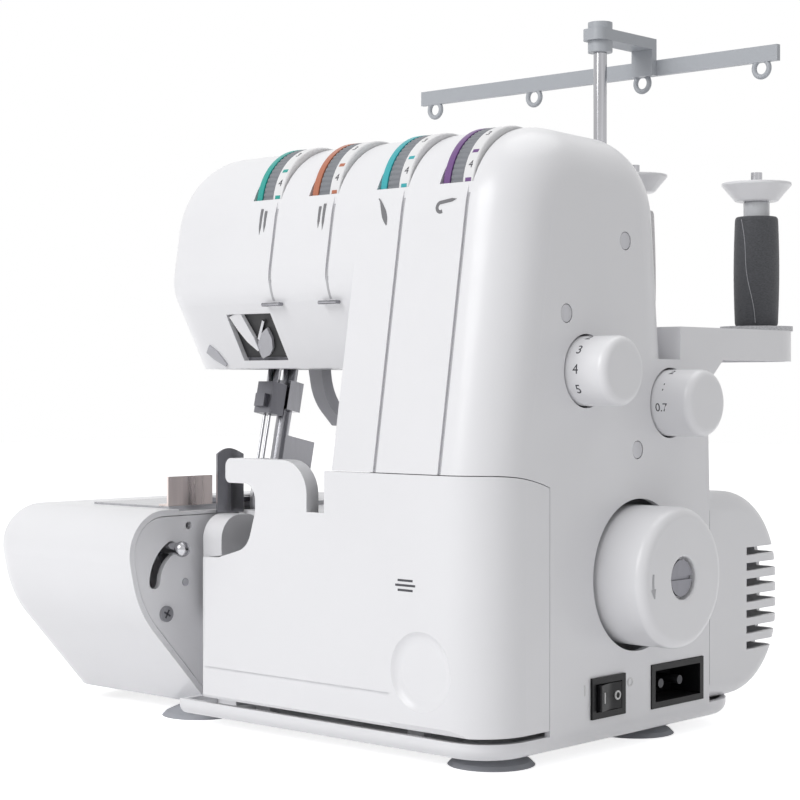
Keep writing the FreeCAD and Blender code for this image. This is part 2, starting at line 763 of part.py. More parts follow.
plate = box("plate_left", "plate_front", "bed_top - plate_sink", "plate_right - plate_left",
            "plate_rear - plate_front", "plate_thick")
needle_slot = box("needle_x - 5", "needle_y - 4", "bed_top - 3 * wall", 9, 9, "6 * wall")
dog_slots = [
    box(f"needle_x - {9 - 6 * i}", "needle_y + 6.5", "bed_top - 3 * wall", 3.6, 20, "6 * wall")
    for i in range(3)
]
keep("needle_plate", cut(plate, needle_slot, *dog_slots))
teeth = []
for i in range(3):
    for tooth in range(6):
        wedge = doc.addObject("Part::Wedge", "Tooth")
        wedge.Placement = Placement(Vector(), Rotation())
        bind(wedge, Xmin=0, Xmax=2.8, X2min=0, X2max=2.8)
        bind(wedge, Ymin=0, Ymax=1.2, Zmin=0, Zmax=2, Z2min=1.6, Z2max=2)
        wedge.Placement = Placement(Vector(), Rotation(Vector(1, 0, 0), 90))
        tooth_y = f"needle_y + {10.5 + 2.2 * tooth}"
        teeth.append(at(wedge, f"needle_x - {8.6 - 6 * i}", tooth_y, "dog_top - 1.2"))
dog_bars = [
    box(f"needle_x - {8.6 - 6 * i}", "needle_y + 8.5", "dog_top - 13.2", 2.8, 14.2, 12) for i in range(3)
]
dog_foot = box("needle_x - 10", "needle_y + 8.5", "dog_top - 18", 18, 14.2, 6)
keep("feed_dog", fuse(dog_foot, *dog_bars, *teeth))
guide_plate = fuse(
    box("plate_right - 3", "plate_front + 1", "bed_top - plate_sink + plate_thick", 1.2, 30, 15),
    box("plate_right - 9", "plate_front + 1", "bed_top - plate_sink + plate_thick", 7.2, 30, 1),
)
keep("edge_guide", guide_plate)

# Frame casting with its bearings, inside the casing.

floor_z = "foot_height + wall"
arm_z = 208.0
post_front, post_depth = -48.0, 28.0
needle_dir_y = math.sin(math.radians(d.tilt))
needle_dir_z = math.cos(math.radians(d.tilt))
axle_brackets = [box(x, "dial_y - 7", arm_z, 4, 50, f"dial_z + 7 - {arm_z}") for x in (6.0, 90.0)]
frame_blocks = [
    box(-46, -62, floor_z, 156, 102, 8),
    box(96, -40, floor_z, 10, 70, 106),
    box(-30, -40, floor_z, 10, 70, 90),
    box(62, post_front, floor_z, 30, post_depth, f"{arm_z} - foot_height"),
    box("needle_x - 12", -46, arm_z, "92 - needle_x + 12", 37, 14),
    box("needle_x - 12", -46, 205, 24, 24, 40),
    box("needle_x - 10", "presser_y + 5", 195, 20, 23.8, 14),
    box("needle_x - 10", -12, 188, 4, 6.8, 12),
    box("needle_x + 6", -12, 188, 4, 6.8, 12),
    rod("needle_x - 10", "lift_y", "lift_z", 4, 4, "x"),
    rod("needle_x + 6", "lift_y", "lift_z", 4, 4, "x"),
    box(90, post_front, 158, 42, post_depth, 18),
    box(128, -62, 150, 5, 54, 40),
    box(128, -10, 146, 5, 40, 34),
    box(-46, -46, floor_z, 12, 10, 50),
    *axle_brackets,
]
needle_axis = ("needle_x", "needle_y", "bed_top")
presser_axis = ("needle_x", "presser_y", "cover_top")
stem_end = "knob_face - knob_depth - stem_length - seam"
frame_bores = [
    rod(-40, "shaft_y", "shaft_z", "shaft_radius + bush_wall", 160, "x"),
    rod(*needle_axis, "needle_bar_radius + fit_gap", 160, turn=lean_back),
    rod(*presser_axis, "presser_radius + fit_gap", 110, turn=lean_back),
    rod(0, "dial_y", "dial_z", "axle_radius", 110, "x"),
    rod(stem_end, "length_y", "length_z", "stem_radius + fit_gap", "stem_length", "x"),
    rod(stem_end, "feed_y", "feed_z", "stem_radius + fit_gap", "stem_length", "x"),
    rod("needle_x - 20", "lift_y", "lift_z", "lift_pin", 40, "x"),
    rod("bed_right - 10", "knife_y", "knife_z", "knife_pin", 60, "x"),
    rod("looper_x", -62, "looper_z", "looper_pin", 40, "y"),
]
keep("frame_casting", cut(fuse(*frame_blocks), *frame_bores))
keep("shaft_bushes", group(*[
    cut(rod(x, "shaft_y", "shaft_z", "shaft_radius + bush_wall", 10, "x"),
        rod(x - 1, "shaft_y", "shaft_z", "shaft_radius + fit_gap", 12, "x"))
    for x in (96, -30)
]))
axle_left = "groove_right - 2 * groove_pitch - groove_middle - 30"
axle_span = "2 * groove_pitch + groove_middle + 36"
keep("dial_axle", rod(axle_left, "dial_y", "dial_z", "axle_radius", axle_span, "x"))

# Drive: main shaft, pulleys, belt, motor and handwheel.

wheel_depth = 40.0
wheel_back = f"wheel_face - {wheel_depth}"
shaft_bore = d.shaft_radius + d.fit_gap
rim = d.wheel_radius
keep("main_shaft", rod(-36, "shaft_y", "shaft_z", "shaft_radius", "wheel_face - 10 + 36", "x"))
wheel_form = [
    (shaft_bore, 0, 0), (13, 0, 0), (13, 24, 2), (rim - 3.5, 24, 2), (rim - 3.5, 8, 0), (rim, 8, 0),
    (rim, wheel_depth, 5), (10, wheel_depth, 1), (10, wheel_depth - 4, 0), (shaft_bore, wheel_depth - 4, 0),
]
keep("handwheel", lathe(wheel_form, "x", wheel_back, "shaft_y", "shaft_z"))
screw_slot = box("wheel_face - 2.6", "shaft_y - 10", "shaft_z - 0.8", 4, 20, 1.6)
keep("handwheel_screw", cut(
    fuse(rod("wheel_face - 4", "shaft_y", "shaft_z", 8.5, 2.5, "x"),
         rod("wheel_face - 10", "shaft_y", "shaft_z", "shaft_radius", 6, "x")),
    screw_slot,
))


def pulley(radius, hole, x, y, z):
    width = d.belt_width + 2 * d.belt_gap
    flange = 1.5
    rim = radius + d.belt_thick
    form = [
        (hole, -flange, 0), (rim, -flange, 0), (rim, 0, 0), (radius, 0, 0),
        (radius, width, 0), (rim, width, 0), (rim, width + flange, 0), (hole, width + flange, 0),
    ]
    return lathe(form, "x", x, y, z)


pulley_x = "belt_x - belt_gap"
motor_shaft_radius = 4.0
keep("shaft_pulley", pulley(d.big_pulley, shaft_bore, pulley_x, "shaft_y", "shaft_z"))
keep("motor_pulley", fuse(
    pulley(d.small_pulley, motor_shaft_radius, pulley_x, "motor_y", "motor_z"),
    rod("belt_x - 28", "motor_y", "motor_z", motor_shaft_radius, "belt_width + 32", "x"),
))


def belt_loop(extra):
    # Outline round both pulleys: two arcs and their outer tangents.
    big = Vector(0, d.shaft_y, d.shaft_z)
    small = Vector(0, d.motor_y, d.motor_z)
    big_radius = d.big_pulley + extra
    small_radius = d.small_pulley + extra
    reach = small - big
    heading = math.atan2(reach.z, reach.y)
    spread = math.acos((big_radius - small_radius) / reach.Length)

    def on(centre, radius, angle):
        return centre + Vector(0, radius * math.cos(angle), radius * math.sin(angle))

    up, down = heading + spread, heading - spread
    edges = [
        Part.Arc(on(big, big_radius, up), on(big, big_radius, heading + math.pi),
                 on(big, big_radius, down)).toShape(),
        Part.makeLine(on(big, big_radius, down), on(small, small_radius, down)),
        Part.Arc(on(small, small_radius, down), on(small, small_radius, heading),
                 on(small, small_radius, up)).toShape(),
        Part.makeLine(on(small, small_radius, up), on(big, big_radius, up)),
    ]
    return Part.Face(Part.Wire(edges))


belt = doc.addObject("Part::Feature", "Belt")
belt_face = belt_loop(d.belt_gap + d.belt_thick).cut(belt_loop(d.belt_gap))
belt.Shape = belt_face.extrude(Vector(d.belt_width, 0, 0))
keep("drive_belt", at(belt, "belt_x"))
motor_length = 68.0
motor_left = f"belt_x - 12 - {motor_length}"
motor_can = cut(
    fuse(rod(motor_left, "motor_y", "motor_z", "motor_radius", motor_length, "x"),
         box(f"{motor_left} + 10", "motor_y - 18", "base_top + seam + wall", 48, 12,
             "motor_z - base_top - 20")),
    rod("belt_x - 28.2", "motor_y", "motor_z", f"{motor_shaft_radius} + fit_gap", 40, "x"),
)
keep("motor", motor_can)

# Knobs on the right side and the tension dials along the top.

for label, place in (("stitch_length_knob", "length"), ("differential_feed_knob", "feed")):
    form = [
        (0, -d.stem_length, 0), (d.stem_radius, -d.stem_length, 0), (d.stem_radius, 0, 0),
        (d.knob_radius, 0, 0.5), (d.knob_radius, d.knob_depth, 4), (0, d.knob_depth, 0),
    ]
    keep(label, lathe(form, "x", "knob_face - knob_depth", f"{place}_y", f"{place}_z"))
axle_bore = d.axle_radius + d.fit_gap
for index in range(4):
    dial_form = [
        (axle_bore, 0, 0), (d.dial_radius, 0, 1), (d.dial_radius, d.dial_width, 0),
        (axle_bore, d.dial_width, 0),
    ]
    ring_form = [
        (axle_bore, 0, 0), (d.dial_radius, 0, 0), (d.dial_radius, d.ring_width, 1),
        (axle_bore, d.ring_width, 0),
    ]
    x = groove_formula(index)
    dial_x = f"{x} - ring_width - dial_width"
    keep(f"tension_dial_{index + 1}", lathe(dial_form, "x", dial_x, "dial_y", "dial_z"))
    keep(f"number_ring_{index + 1}", lathe(ring_form, "x", f"{x} - ring_width", "dial_y", "dial_z"))

# Power switch and inlet.

bezel = fuse(
    box("panel_x - 18", "switch_y", "switch_z", 18, "switch_width", "switch_height"),
    box("panel_x", "switch_y - 1", "switch_z - 1", 1.2, "switch_width + 2", "switch_height + 2"),
)
keep("switch_bezel", cut(bezel, box("panel_x - 13", "switch_y + 2", "switch_z + 2", 30, "switch_width - 4",
                                    "switch_height - 4")))
rocker_middle = d.switch_y + d.switch_width / 2
rocker_half = d.switch_width / 2 - 3
rocker_plan = [
    (d.panel_x - 8, rocker_middle - 4, 2), (d.panel_x - 1, rocker_middle - rocker_half, 1),
    (d.panel_x + 3.5, rocker_middle - rocker_half, 0.6), (d.panel_x + 1, rocker_middle + 1, 12),
    (d.panel_x + 1.8, rocker_middle + rocker_half, 0.4), (d.panel_x - 1, rocker_middle + rocker_half, 1),
    (d.panel_x - 8, rocker_middle + 4, 2),
]
rocker_body = prism("xy", rocker_plan, "switch_z + 2.4", "switch_height - 4.8")
pivot_x = "panel_x - 5"
pivot_y = "switch_y + switch_width / 2"
rocker_bore = rod(pivot_x, pivot_y, "switch_z", "rocker_pin + fit_gap", "switch_height")
keep("switch_rocker", cut(rocker_body, rocker_bore))
pins.append(rod(pivot_x, pivot_y, "switch_z + 2", "rocker_pin", "switch_height - 4"))
inlet = cut(
    box("panel_x - 26", "inlet_y", "inlet_z", 26.6, "inlet_width", "inlet_height"),
    box("panel_x - 17", "inlet_y + 3", "inlet_z + 3", 30, "inlet_width - 6", "inlet_height - 6"),
)
contacts = [
    rod("panel_x - 17", f"inlet_y + inlet_width / 2 + {offset}", "inlet_z + inlet_height / 2", 2.2, 13, "x")
    for offset in (-8, 8)
]
keep("power_inlet", inlet)
keep("inlet_contacts", group(*contacts))

# Needle bar, presser bar and knives, on the leaning axis of the head.


def leaning(origin, across, forward, rise):
    # A point given along the leaning axis, as three formulas.
    x, y, z = origin
    dy = forward * needle_dir_z + rise * needle_dir_y
    dz = rise * needle_dir_z - forward * needle_dir_y
    return f"{x} + {across}", f"{y} + {dy}", f"{z} + {dz}"


def leaning_rod(origin, across, rise, radius, length):
    return rod(*leaning(origin, across, 0, rise), radius, length, turn=lean_back)


def leaning_box(origin, across, forward, rise, dx, dy, dz):
    block = doc.addObject("Part::Box", "LeaningBox")
    block.Placement = Placement(Vector(), lean_back)
    bind(block, Length=dx, Width=dy, Height=dz)
    return at(block, *leaning(origin, across, forward, rise))


clamp_low, clamp_high = 48.0, 65.0
keep("needle_bar", leaning_rod(needle_axis, 0, clamp_high, "needle_bar_radius", 96))
keep("needle_clamp", fuse(
    leaning_box(needle_axis, -6, -5, clamp_low, 12, 10, clamp_high - clamp_low),
    leaning_box(needle_axis, -3.5, -8, clamp_low + 3, 7, 4, 7),
))
needle_offsets = (-2.6, 1.2)
keep("needles", group(*[
    leaning_rod(needle_axis, across, 4, 0.8, clamp_low - 4) for across in needle_offsets
]))
keep("presser_bar", fuse(
    leaning_rod(presser_axis, 0, -11, "presser_radius", 88),
    leaning_box(presser_axis, -7, -5.5, 26, 14, 10, 16),
    leaning_box(presser_axis, -4, 0, -2, 8, 22, 15),
))
sole = cut(
    box("needle_x - 14", "needle_y - 29", "bed_top + 1.3", 20, 50, 2.5),
    box("needle_x - 5", "needle_y - 6", "bed_top - 1", 8.4, 14, 10),
)
keep("presser_foot", fuse(
    sole, box("needle_x - 6", "presser_y - 9", "bed_top + 3", 11, 14, 8.2),
    box("needle_x - 8", "presser_y - 6", "bed_top + 6", 16, 9, 5.2),
))
lever_outline = [
    (d.lift_y - 4, d.lift_z, 0), (d.lift_y + 4, d.lift_z, 0), (d.lift_y + 7, d.lift_z - 22, 30),
    (d.lift_y + 22, d.lift_z - 36, 2.4), (d.lift_y + 17, d.lift_z - 40, 2.4), (d.lift_y + 1, d.lift_z - 25, 30),
]
lever_plate = prism("yz", lever_outline, "needle_x - 5", 10)
lever_hub = rod("needle_x - 5.5", "lift_y", "lift_z", 4, 11, "x")
keep("presser_lever", cut(
    fuse(lever_plate, lever_hub), rod("needle_x - 20", "lift_y", "lift_z", "lift_pin + fit_gap", 40, "x")
))
pins.append(rod("needle_x - 10", "lift_y", "lift_z", "lift_pin", 20, "x"))
keep("lower_knife", box("plate_right + 0.1", "needle_y - 9", "bed_top - 28", 1.8, 12, 28.8))
keep("upper_knife", prism(
    "yz", [(d.needle_y - 11, d.bed_top - 4, 0), (d.needle_y + 3, d.bed_top - 4, 0),
           (d.needle_y + 3, d.bed_top + 24, 3), (d.needle_y - 6, d.bed_top + 24, 3),
           (d.needle_y - 11, d.bed_top + 6, 2)],
    "plate_right + 2.2", 2,
))
arm_tip_y, arm_tip_z = d.needle_y - 4, d.bed_top
arm_run = math.hypot(arm_tip_y - d.knife_y, arm_tip_z - d.knife_z)
arm_angle = math.degrees(math.atan2(arm_tip_z - d.knife_z, arm_tip_y - d.knife_y))
arm_bar = doc.addObject("Part::Box", "ArmBar")
arm_bar.Placement = Placement(Vector(), Rotation(Vector(1, 0, 0), arm_angle))
bind(arm_bar, Length=4, Width=arm_run, Height=9)
arm_normal = math.radians(arm_angle - 90)
arm_y = f"knife_y + 4.5 * {math.cos(arm_normal)}"
at(arm_bar, "plate_right + 4.2", arm_y, f"knife_z + 4.5 * {math.sin(arm_normal)}")
keep("knife_arm", cut(
    fuse(arm_bar, rod("plate_right + 4.2", "knife_y", "knife_z", 7, 4, "x")),
    rod("plate_right", "knife_y", "knife_z", "knife_pin + fit_gap", 20, "x"),
))
pins.append(rod("plate_right", "knife_y", "knife_z", "knife_pin", "-20 - plate_right", "x"))

# Loopers under the needle plate.


def looper(tip_rise, tip_turn):
    x, z = d.looper_x, d.looper_z
    return [
        (x + 6, z - 6, 5), (x + 5, z + 12, 20), (x - 4, z + tip_rise - 6, 8),
        (x - tip_turn, z + tip_rise, 0.6), (x - tip_turn + 2, z + tip_rise - 5, 4),
        (x - 8, z + tip_rise - 14, 8), (x - 5, z + 10, 20), (x - 6, z - 6, 5),
    ]


for label, tip_rise, tip_turn, back in (("lower_looper", 40, 16, 56), ("upper_looper", 46, 13, 50)):
    arm = prism("xz", looper(tip_rise, tip_turn), back, 4)
    keep(label, cut(arm, rod("looper_x", -80, "looper_z", "looper_pin + fit_gap", 60, "y")))
pins.append(rod("looper_x", -62, "looper_z", "looper_pin", 26, "y"))
keep("pivot_pins", group(*pins))

# Thread guides under the first two grooves, and the screws.

chin_slope = d.chin_depth / (d.chin_z - d.head_bottom)
guide_drop = 9.0
guide_face = chin_y + guide_drop * chin_slope
guide_z = f"chin_z - {guide_drop}"
wires = []
for index in range(2):
    x = groove_formula(index)
    wires.append(fuse(
        rod(f"{x} - 6", guide_face - 3, guide_z, 0.9, 12, "x"),
        rod(f"{x} - 5", guide_face - 3, guide_z, 0.9, 2.5, "y"),
        rod(f"{x} + 5", guide_face - 3, guide_z, 0.9, 2.5, "y"),
    ))
takeup = doc.addObject("Part::Box", "TakeUp")
takeup.Placement = Placement(Vector(), Rotation(Vector(1, 0, 0), math.degrees(math.atan(chin_slope))))
bind(takeup, Length=38, Width=1.5, Height=30)
face_run = math.hypot(1, chin_slope)
takeup_low = 2.0
takeup_y = chin_y + d.chin_depth - takeup_low * chin_slope + d.wall / face_run
at(takeup, -44, takeup_y, f"head_bottom + {takeup_low} + wall * {chin_slope / face_run}")
keep("thread_guides", group(*wires, takeup))
screws = []
for y, z in screw_spots:
    screws.append(fuse(
        rod("panel_x - wall / 2", y, z, "screw_head", 1.2, "x"),
        rod("panel_x - 10", y, z, 2, "10 - wall / 2", "x"),
    ))
screws.append(fuse(
    rod("bed_right - seam", "panel_screw_y", "panel_screw_z", "screw_head", 1.4, "x"),
    rod("bed_right - 8", "panel_screw_y", "panel_screw_z", 1.8, "8 - seam", "x"),
))
keep("casing_screws", group(*screws))

# Check every object, then write one STEP file for each piece.

doc.recompute()
for obj in doc.Objects:
    if "Invalid" in obj.State or "Error" in obj.State:
        raise RuntimeError(f"{obj.Name} ({obj.Label}) failed: {obj.State}")
os.makedirs("parts", exist_ok=True)
for label, obj in parts.items():
    if obj.Shape.isNull() or not obj.Shape.isValid():
        raise RuntimeError(f"{label} has no valid shape")
    print(label, len(obj.Shape.Solids), round(obj.Shape.Volume))
    obj.Shape.exportStep(f"parts/{label}.step")
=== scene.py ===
import json
import math

import bmesh
import bpy
import numpy as np
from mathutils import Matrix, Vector


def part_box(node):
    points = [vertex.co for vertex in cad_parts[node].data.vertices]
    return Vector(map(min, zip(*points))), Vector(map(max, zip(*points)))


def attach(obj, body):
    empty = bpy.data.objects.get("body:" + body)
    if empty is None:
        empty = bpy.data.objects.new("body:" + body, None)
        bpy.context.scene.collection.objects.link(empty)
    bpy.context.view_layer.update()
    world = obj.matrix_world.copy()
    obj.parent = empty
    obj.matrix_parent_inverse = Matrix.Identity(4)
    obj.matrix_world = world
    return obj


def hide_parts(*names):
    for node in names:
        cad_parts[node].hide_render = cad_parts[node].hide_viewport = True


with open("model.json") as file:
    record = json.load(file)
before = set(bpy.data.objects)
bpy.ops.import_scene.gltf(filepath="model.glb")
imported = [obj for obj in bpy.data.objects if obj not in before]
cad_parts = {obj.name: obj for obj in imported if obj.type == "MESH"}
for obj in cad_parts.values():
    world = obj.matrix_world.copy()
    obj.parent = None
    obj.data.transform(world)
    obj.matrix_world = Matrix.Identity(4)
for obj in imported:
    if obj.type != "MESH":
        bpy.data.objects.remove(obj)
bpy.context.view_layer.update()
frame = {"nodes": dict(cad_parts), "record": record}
nodes = frame["nodes"]
mm = 0.001
print("frame loaded:", len(nodes), "nodes")


# Shaders: each finish is one Principled node with noise on Object coordinates.

noiseLook = {"low": 0.3, "high": 0.7, "detail": 3.0}    # the noise spends nearly all its range between these
plasticLook = {
    "driftScale": 14.0, "drift": 0.02,
    "glossScale": 90.0, "gloss": (0.88, 1.12),
    "grainScale": 1500.0, "grainDetail": 2.0, "grain": 0.00003,
    "specular": 0.5, "coat": 0.0, "coatRoughness": 0.1,
}
metalLook = {
    "lineScale": 260.0, "lineDetail": 4.0, "stretch": (1, 1, 0.06), "depth": 0.00002,
    "shade": (0.88, 1.08), "gloss": (0.75, 1.3),
}
fibreLook = {
    "fibreScale": 900.0, "fibreDetail": 5.0, "stretch": (1, 1, 3), "depth": 0.00015,
    "shade": (0.72, 1.25), "sheen": 0.3,
}


def newShader(name):
    material = bpy.data.materials.new(name)
    material.use_nodes = True
    tree = material.node_tree
    return material, tree, tree.nodes["Principled BSDF"]


def noiseOn(tree, scale, detail=noiseLook["detail"], stretch=(1, 1, 1)):
    coords = tree.nodes.new("ShaderNodeTexCoord")
    mapping = tree.nodes.new("ShaderNodeMapping")
    mapping.inputs["Scale"].default_value = stretch
    noise = tree.nodes.new("ShaderNodeTexNoise")
    noise.inputs["Scale"].default_value = scale
    noise.inputs["Detail"].default_value = detail
    tree.links.new(coords.outputs["Object"], mapping.inputs["Vector"])
    tree.links.new(mapping.outputs["Vector"], noise.inputs["Vector"])
    return noise.outputs["Fac"]


def shadeBy(tree, shader, noise, color, share):
    # The colour runs between a darker and a lighter share of itself.
    color = np.array(color)
    ramp = tree.nodes.new("ShaderNodeValToRGB")
    first, last = ramp.color_ramp.elements
    first.position = noiseLook["low"]
    last.position = noiseLook["high"]
    first.color = (*(color * share[0]), 1)
    last.color = (*np.minimum(color * share[1], 1), 1)
    tree.links.new(noise, ramp.inputs["Fac"])
    tree.links.new(ramp.outputs["Color"], shader.inputs["Base Color"])


def glossBy(tree, shader, noise, roughness, share):
    # The roughness runs between a smaller and a larger share of itself.
    span = tree.nodes.new("ShaderNodeMapRange")
    span.inputs["From Min"].default_value = noiseLook["low"]
    span.inputs["From Max"].default_value = noiseLook["high"]
    span.inputs["To Min"].default_value = roughness * share[0]
    span.inputs["To Max"].default_value = roughness * share[1]
    tree.links.new(noise, span.inputs["Value"])
    tree.links.new(span.outputs["Result"], shader.inputs["Roughness"])


def addBump(tree, shader, noise, depth):
    bump = tree.nodes.new("ShaderNodeBump")
    bump.inputs["Distance"].default_value = depth
    bump.inputs["Strength"].default_value = 1.0
    tree.links.new(noise, bump.inputs["Height"])
    tree.links.new(bump.outputs["Normal"], shader.inputs["Normal"])


def mouldedPlastic(name, look):
    # A pigmented moulding: faint colour drift, uneven gloss and a fine spark texture.
    look = {**plasticLook, **look}
    material, tree, shader = newShader(name)
    drift = look["drift"]
    shadeBy(tree, shader, noiseOn(tree, look["driftScale"]), look["color"], (1 - drift, 1 + drift))
    glossBy(tree, shader, noiseOn(tree, look["glossScale"]), look["roughness"], look["gloss"])
    addBump(tree, shader, noiseOn(tree, look["grainScale"], look["grainDetail"]), look["grain"])
    shader.inputs["Specular IOR Level"].default_value = look["specular"]
    shader.inputs["Coat Weight"].default_value = look["coat"]
    shader.inputs["Coat Roughness"].default_value = look["coatRoughness"]
    return material


def workedMetal(name, look):
    # A metal with lines from its last cut, stretched along one axis.
    look = {**metalLook, **look}
    material, tree, shader = newShader(name)
    lines = noiseOn(tree, look["lineScale"], look["lineDetail"], look["stretch"])
    shadeBy(tree, shader, lines, look["color"], look["shade"])
    glossBy(tree, shader, lines, look["roughness"], look["gloss"])
    addBump(tree, shader, lines, look["depth"])
    shader.inputs["Metallic"].default_value = 1.0
    return material


def softFibre(name, look):
    # Felt or thread: strong fine bump and a soft sheen.
    look = {**fibreLook, **look}
    material, tree, shader = newShader(name)
    fibres = noiseOn(tree, look["fibreScale"], look["fibreDetail"], look["stretch"])
    shadeBy(tree, shader, fibres, look["color"], look["shade"])
    addBump(tree, shader, fibres, look["depth"])
    shader.inputs["Roughness"].default_value = look["roughness"]
    shader.inputs["Sheen Weight"].default_value = look["sheen"]
    return material


finishLooks = {
    "casing_white": (mouldedPlastic, {"color": (0.80, 0.80, 0.82), "roughness": 0.34, "drift": 0.012,
                                      "coat": 0.12}),
    "ring_white": (mouldedPlastic, {"color": (0.78, 0.78, 0.79), "roughness": 0.45}),
    "foot_grey": (mouldedPlastic, {"color": (0.36, 0.37, 0.40), "roughness": 0.62, "grain": 0.00006}),
    "cushion_foam": (softFibre, {"color": (0.62, 0.62, 0.64), "roughness": 0.95}),
    "bright_steel": (workedMetal, {"color": (0.44, 0.44, 0.46), "roughness": 0.14, "depth": 0.000006}),
    "plate_steel": (workedMetal, {"color": (0.52, 0.52, 0.54), "roughness": 0.30, "stretch": (1, 0.05, 1)}),
    "guide_bronze": (workedMetal, {"color": (0.80, 0.71, 0.68), "roughness": 0.30}),
    "dark_steel": (workedMetal, {"color": (0.20, 0.20, 0.22), "roughness": 0.36}),
    "stand_grey": (mouldedPlastic, {"color": (0.42, 0.44, 0.47), "roughness": 0.42}),
    "lever_grey": (mouldedPlastic, {"color": (0.45, 0.45, 0.48), "roughness": 0.40}),
    "frame_cast": (workedMetal, {"color": (0.50, 0.51, 0.52), "roughness": 0.55, "stretch": (1, 1, 1),
                                 "depth": 0.0001}),
    "bush_brass": (workedMetal, {"color": (0.72, 0.54, 0.27), "roughness": 0.28}),
    "pulley_alloy": (workedMetal, {"color": (0.60, 0.60, 0.62), "roughness": 0.28}),
    "motor_black": (mouldedPlastic, {"color": (0.035, 0.035, 0.04), "roughness": 0.45, "drift": 0.15}),
    "belt_rubber": (mouldedPlastic, {"color": (0.02, 0.02, 0.02), "roughness": 0.75, "drift": 0.2}),
    "black_plastic": (mouldedPlastic, {"color": (0.008, 0.008, 0.009), "roughness": 0.36, "drift": 0.15,
                                       "specular": 0.2}),
    "thread_charcoal": (softFibre, {"color": (0.070, 0.072, 0.080), "roughness": 0.75, "sheen": 0.25}),
    "thread_pale": (softFibre, {"color": (0.74, 0.73, 0.74), "roughness": 0.8}),
    "hook_steel": (workedMetal, {"color": (0.30, 0.30, 0.32), "roughness": 0.22}),
    # Inlet contact pins darkened nearly to black: painted shade for the shadow deep inside the socket.
    "contact_painted_shade_steel": (workedMetal, {"color": (0.07, 0.07, 0.075), "roughness": 0.5}),
    "screw_zinc": (workedMetal, {"color": (0.40, 0.40, 0.42), "roughness": 0.38}),
    "dial_teal": (mouldedPlastic, {"color": (0.01, 0.33, 0.29), "roughness": 0.4}),
    "dial_orange": (mouldedPlastic, {"color": (0.45, 0.15, 0.08), "roughness": 0.4}),
    "dial_turquoise": (mouldedPlastic, {"color": (0.03, 0.38, 0.42), "roughness": 0.4}),
    "dial_purple": (mouldedPlastic, {"color": (0.15, 0.06, 0.22), "roughness": 0.4}),
}
finishes = {slot: make(slot, look) for slot, (make, look) in finishLooks.items()}
gripGrey = mouldedPlastic("gripGrey", {"color": (0.20, 0.21, 0.23), "roughness": 0.5})
# Dark grey for printed figures and signs, and for the painted shade in the cross of the bed panel's screw.
printAndPaintedShadeGrey = mouldedPlastic("printAndPaintedShadeGrey", {"color": (0.06, 0.06, 0.07), "roughness": 0.6, "drift": 0.1})
tubeClear = mouldedPlastic("tubeClear", {"color": (0.55, 0.56, 0.58), "roughness": 0.22, "coat": 0.4})
strayPale = softFibre("strayPale", {"color": (0.42, 0.42, 0.45), "roughness": 0.8})
lineGrey = mouldedPlastic("lineGrey", {"color": (0.44, 0.44, 0.46), "roughness": 0.6})
signGrey = mouldedPlastic("signGrey", {"color": (0.17, 0.17, 0.18), "roughness": 0.6, "drift": 0.1})
# Near-black for the sheet in the take-up window: painted shade for the shadow inside the window.
paintedShadeBlack = mouldedPlastic("paintedShadeBlack", {"color": (0.012, 0.012, 0.014), "roughness": 0.5, "drift": 0.2})
signWhite = mouldedPlastic("signWhite", {"color": (0.7, 0.7, 0.7), "roughness": 0.5})
nodeSlot = {row["node"]: row["material_slot"] for row in frame["record"]["subparts"]}
nodeSlot.update({
    "casing_screws": "screw_zinc", "inlet_contacts": "contact_painted_shade_steel", "handwheel_screw": "dark_steel",
    "thread_guides": "hook_steel", "presser_bar": "hook_steel",
})
for nodeName, slotName in nodeSlot.items():
    for materialSlot in nodes[nodeName].material_slots:
        materialSlot.material = finishes[slotName]
print("finishes made:", len(finishes))


# Surfaces: a grid of points becomes quads, and a closed direction joins its ends.

gridLook = {"weld": 1e-7, "sharp": math.radians(38)}
textRelief = 0.00008


def placePiece(name, mesh, body, finish):
    mesh.materials.clear()
    mesh.materials.append(finish)
    piece = bpy.data.objects.new(name, mesh)
    bpy.context.scene.collection.objects.link(piece)
    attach(piece, body)
    return piece


def gridPiece(name, points, body, finish, closeRows=False, closeColumns=False):
    rows, columns = points.shape[:2]
    index = np.arange(rows * columns).reshape(rows, columns)
    if closeRows:
        index = np.vstack([index, index[:1]])
    if closeColumns:
        index = np.hstack([index, index[:, :1]])
    quads = np.stack([index[:-1, :-1], index[:-1, 1:], index[1:, 1:], index[1:, :-1]], axis=-1)
    mesh = bpy.data.meshes.new(name)
    mesh.from_pydata(points.reshape(-1, 3).tolist(), [], quads.reshape(-1, 4).tolist())
    shape = bmesh.new()
    shape.from_mesh(mesh)
    bmesh.ops.remove_doubles(shape, verts=shape.verts, dist=gridLook["weld"])
    bmesh.ops.recalc_face_normals(shape, faces=shape.faces)
    shape.to_mesh(mesh)
    shape.free()
    mesh.polygons.foreach_set("use_smooth", np.ones(len(mesh.polygons), dtype=bool))
    mesh.set_sharp_from_angle(angle=gridLook["sharp"])
    return placePiece(name, mesh, body, finish)


def middleOf(low, high):
    return [(first + last) / 2 for first, last in zip(low, high)]


def fullCircle(count):
    return np.linspace(0, 2 * math.pi, count, endpoint=False)


def turnedPoints(profile, angles, centre, axis="x", ripple=0):
    # Profile rows (radius, distance along the axis) swept round the axis; ripple adds to the radius.
    radius = np.broadcast_to(profile[:, :1] + ripple, (len(profile), len(angles)))
    across, up = radius * np.cos(angles), radius * np.sin(angles)
    along = np.broadcast_to(profile[:, 1:], radius.shape)
    order = {"x": (along, across, up), "z": (across, up, along)}[axis]
    return np.stack(order, axis=-1) + np.array(centre)


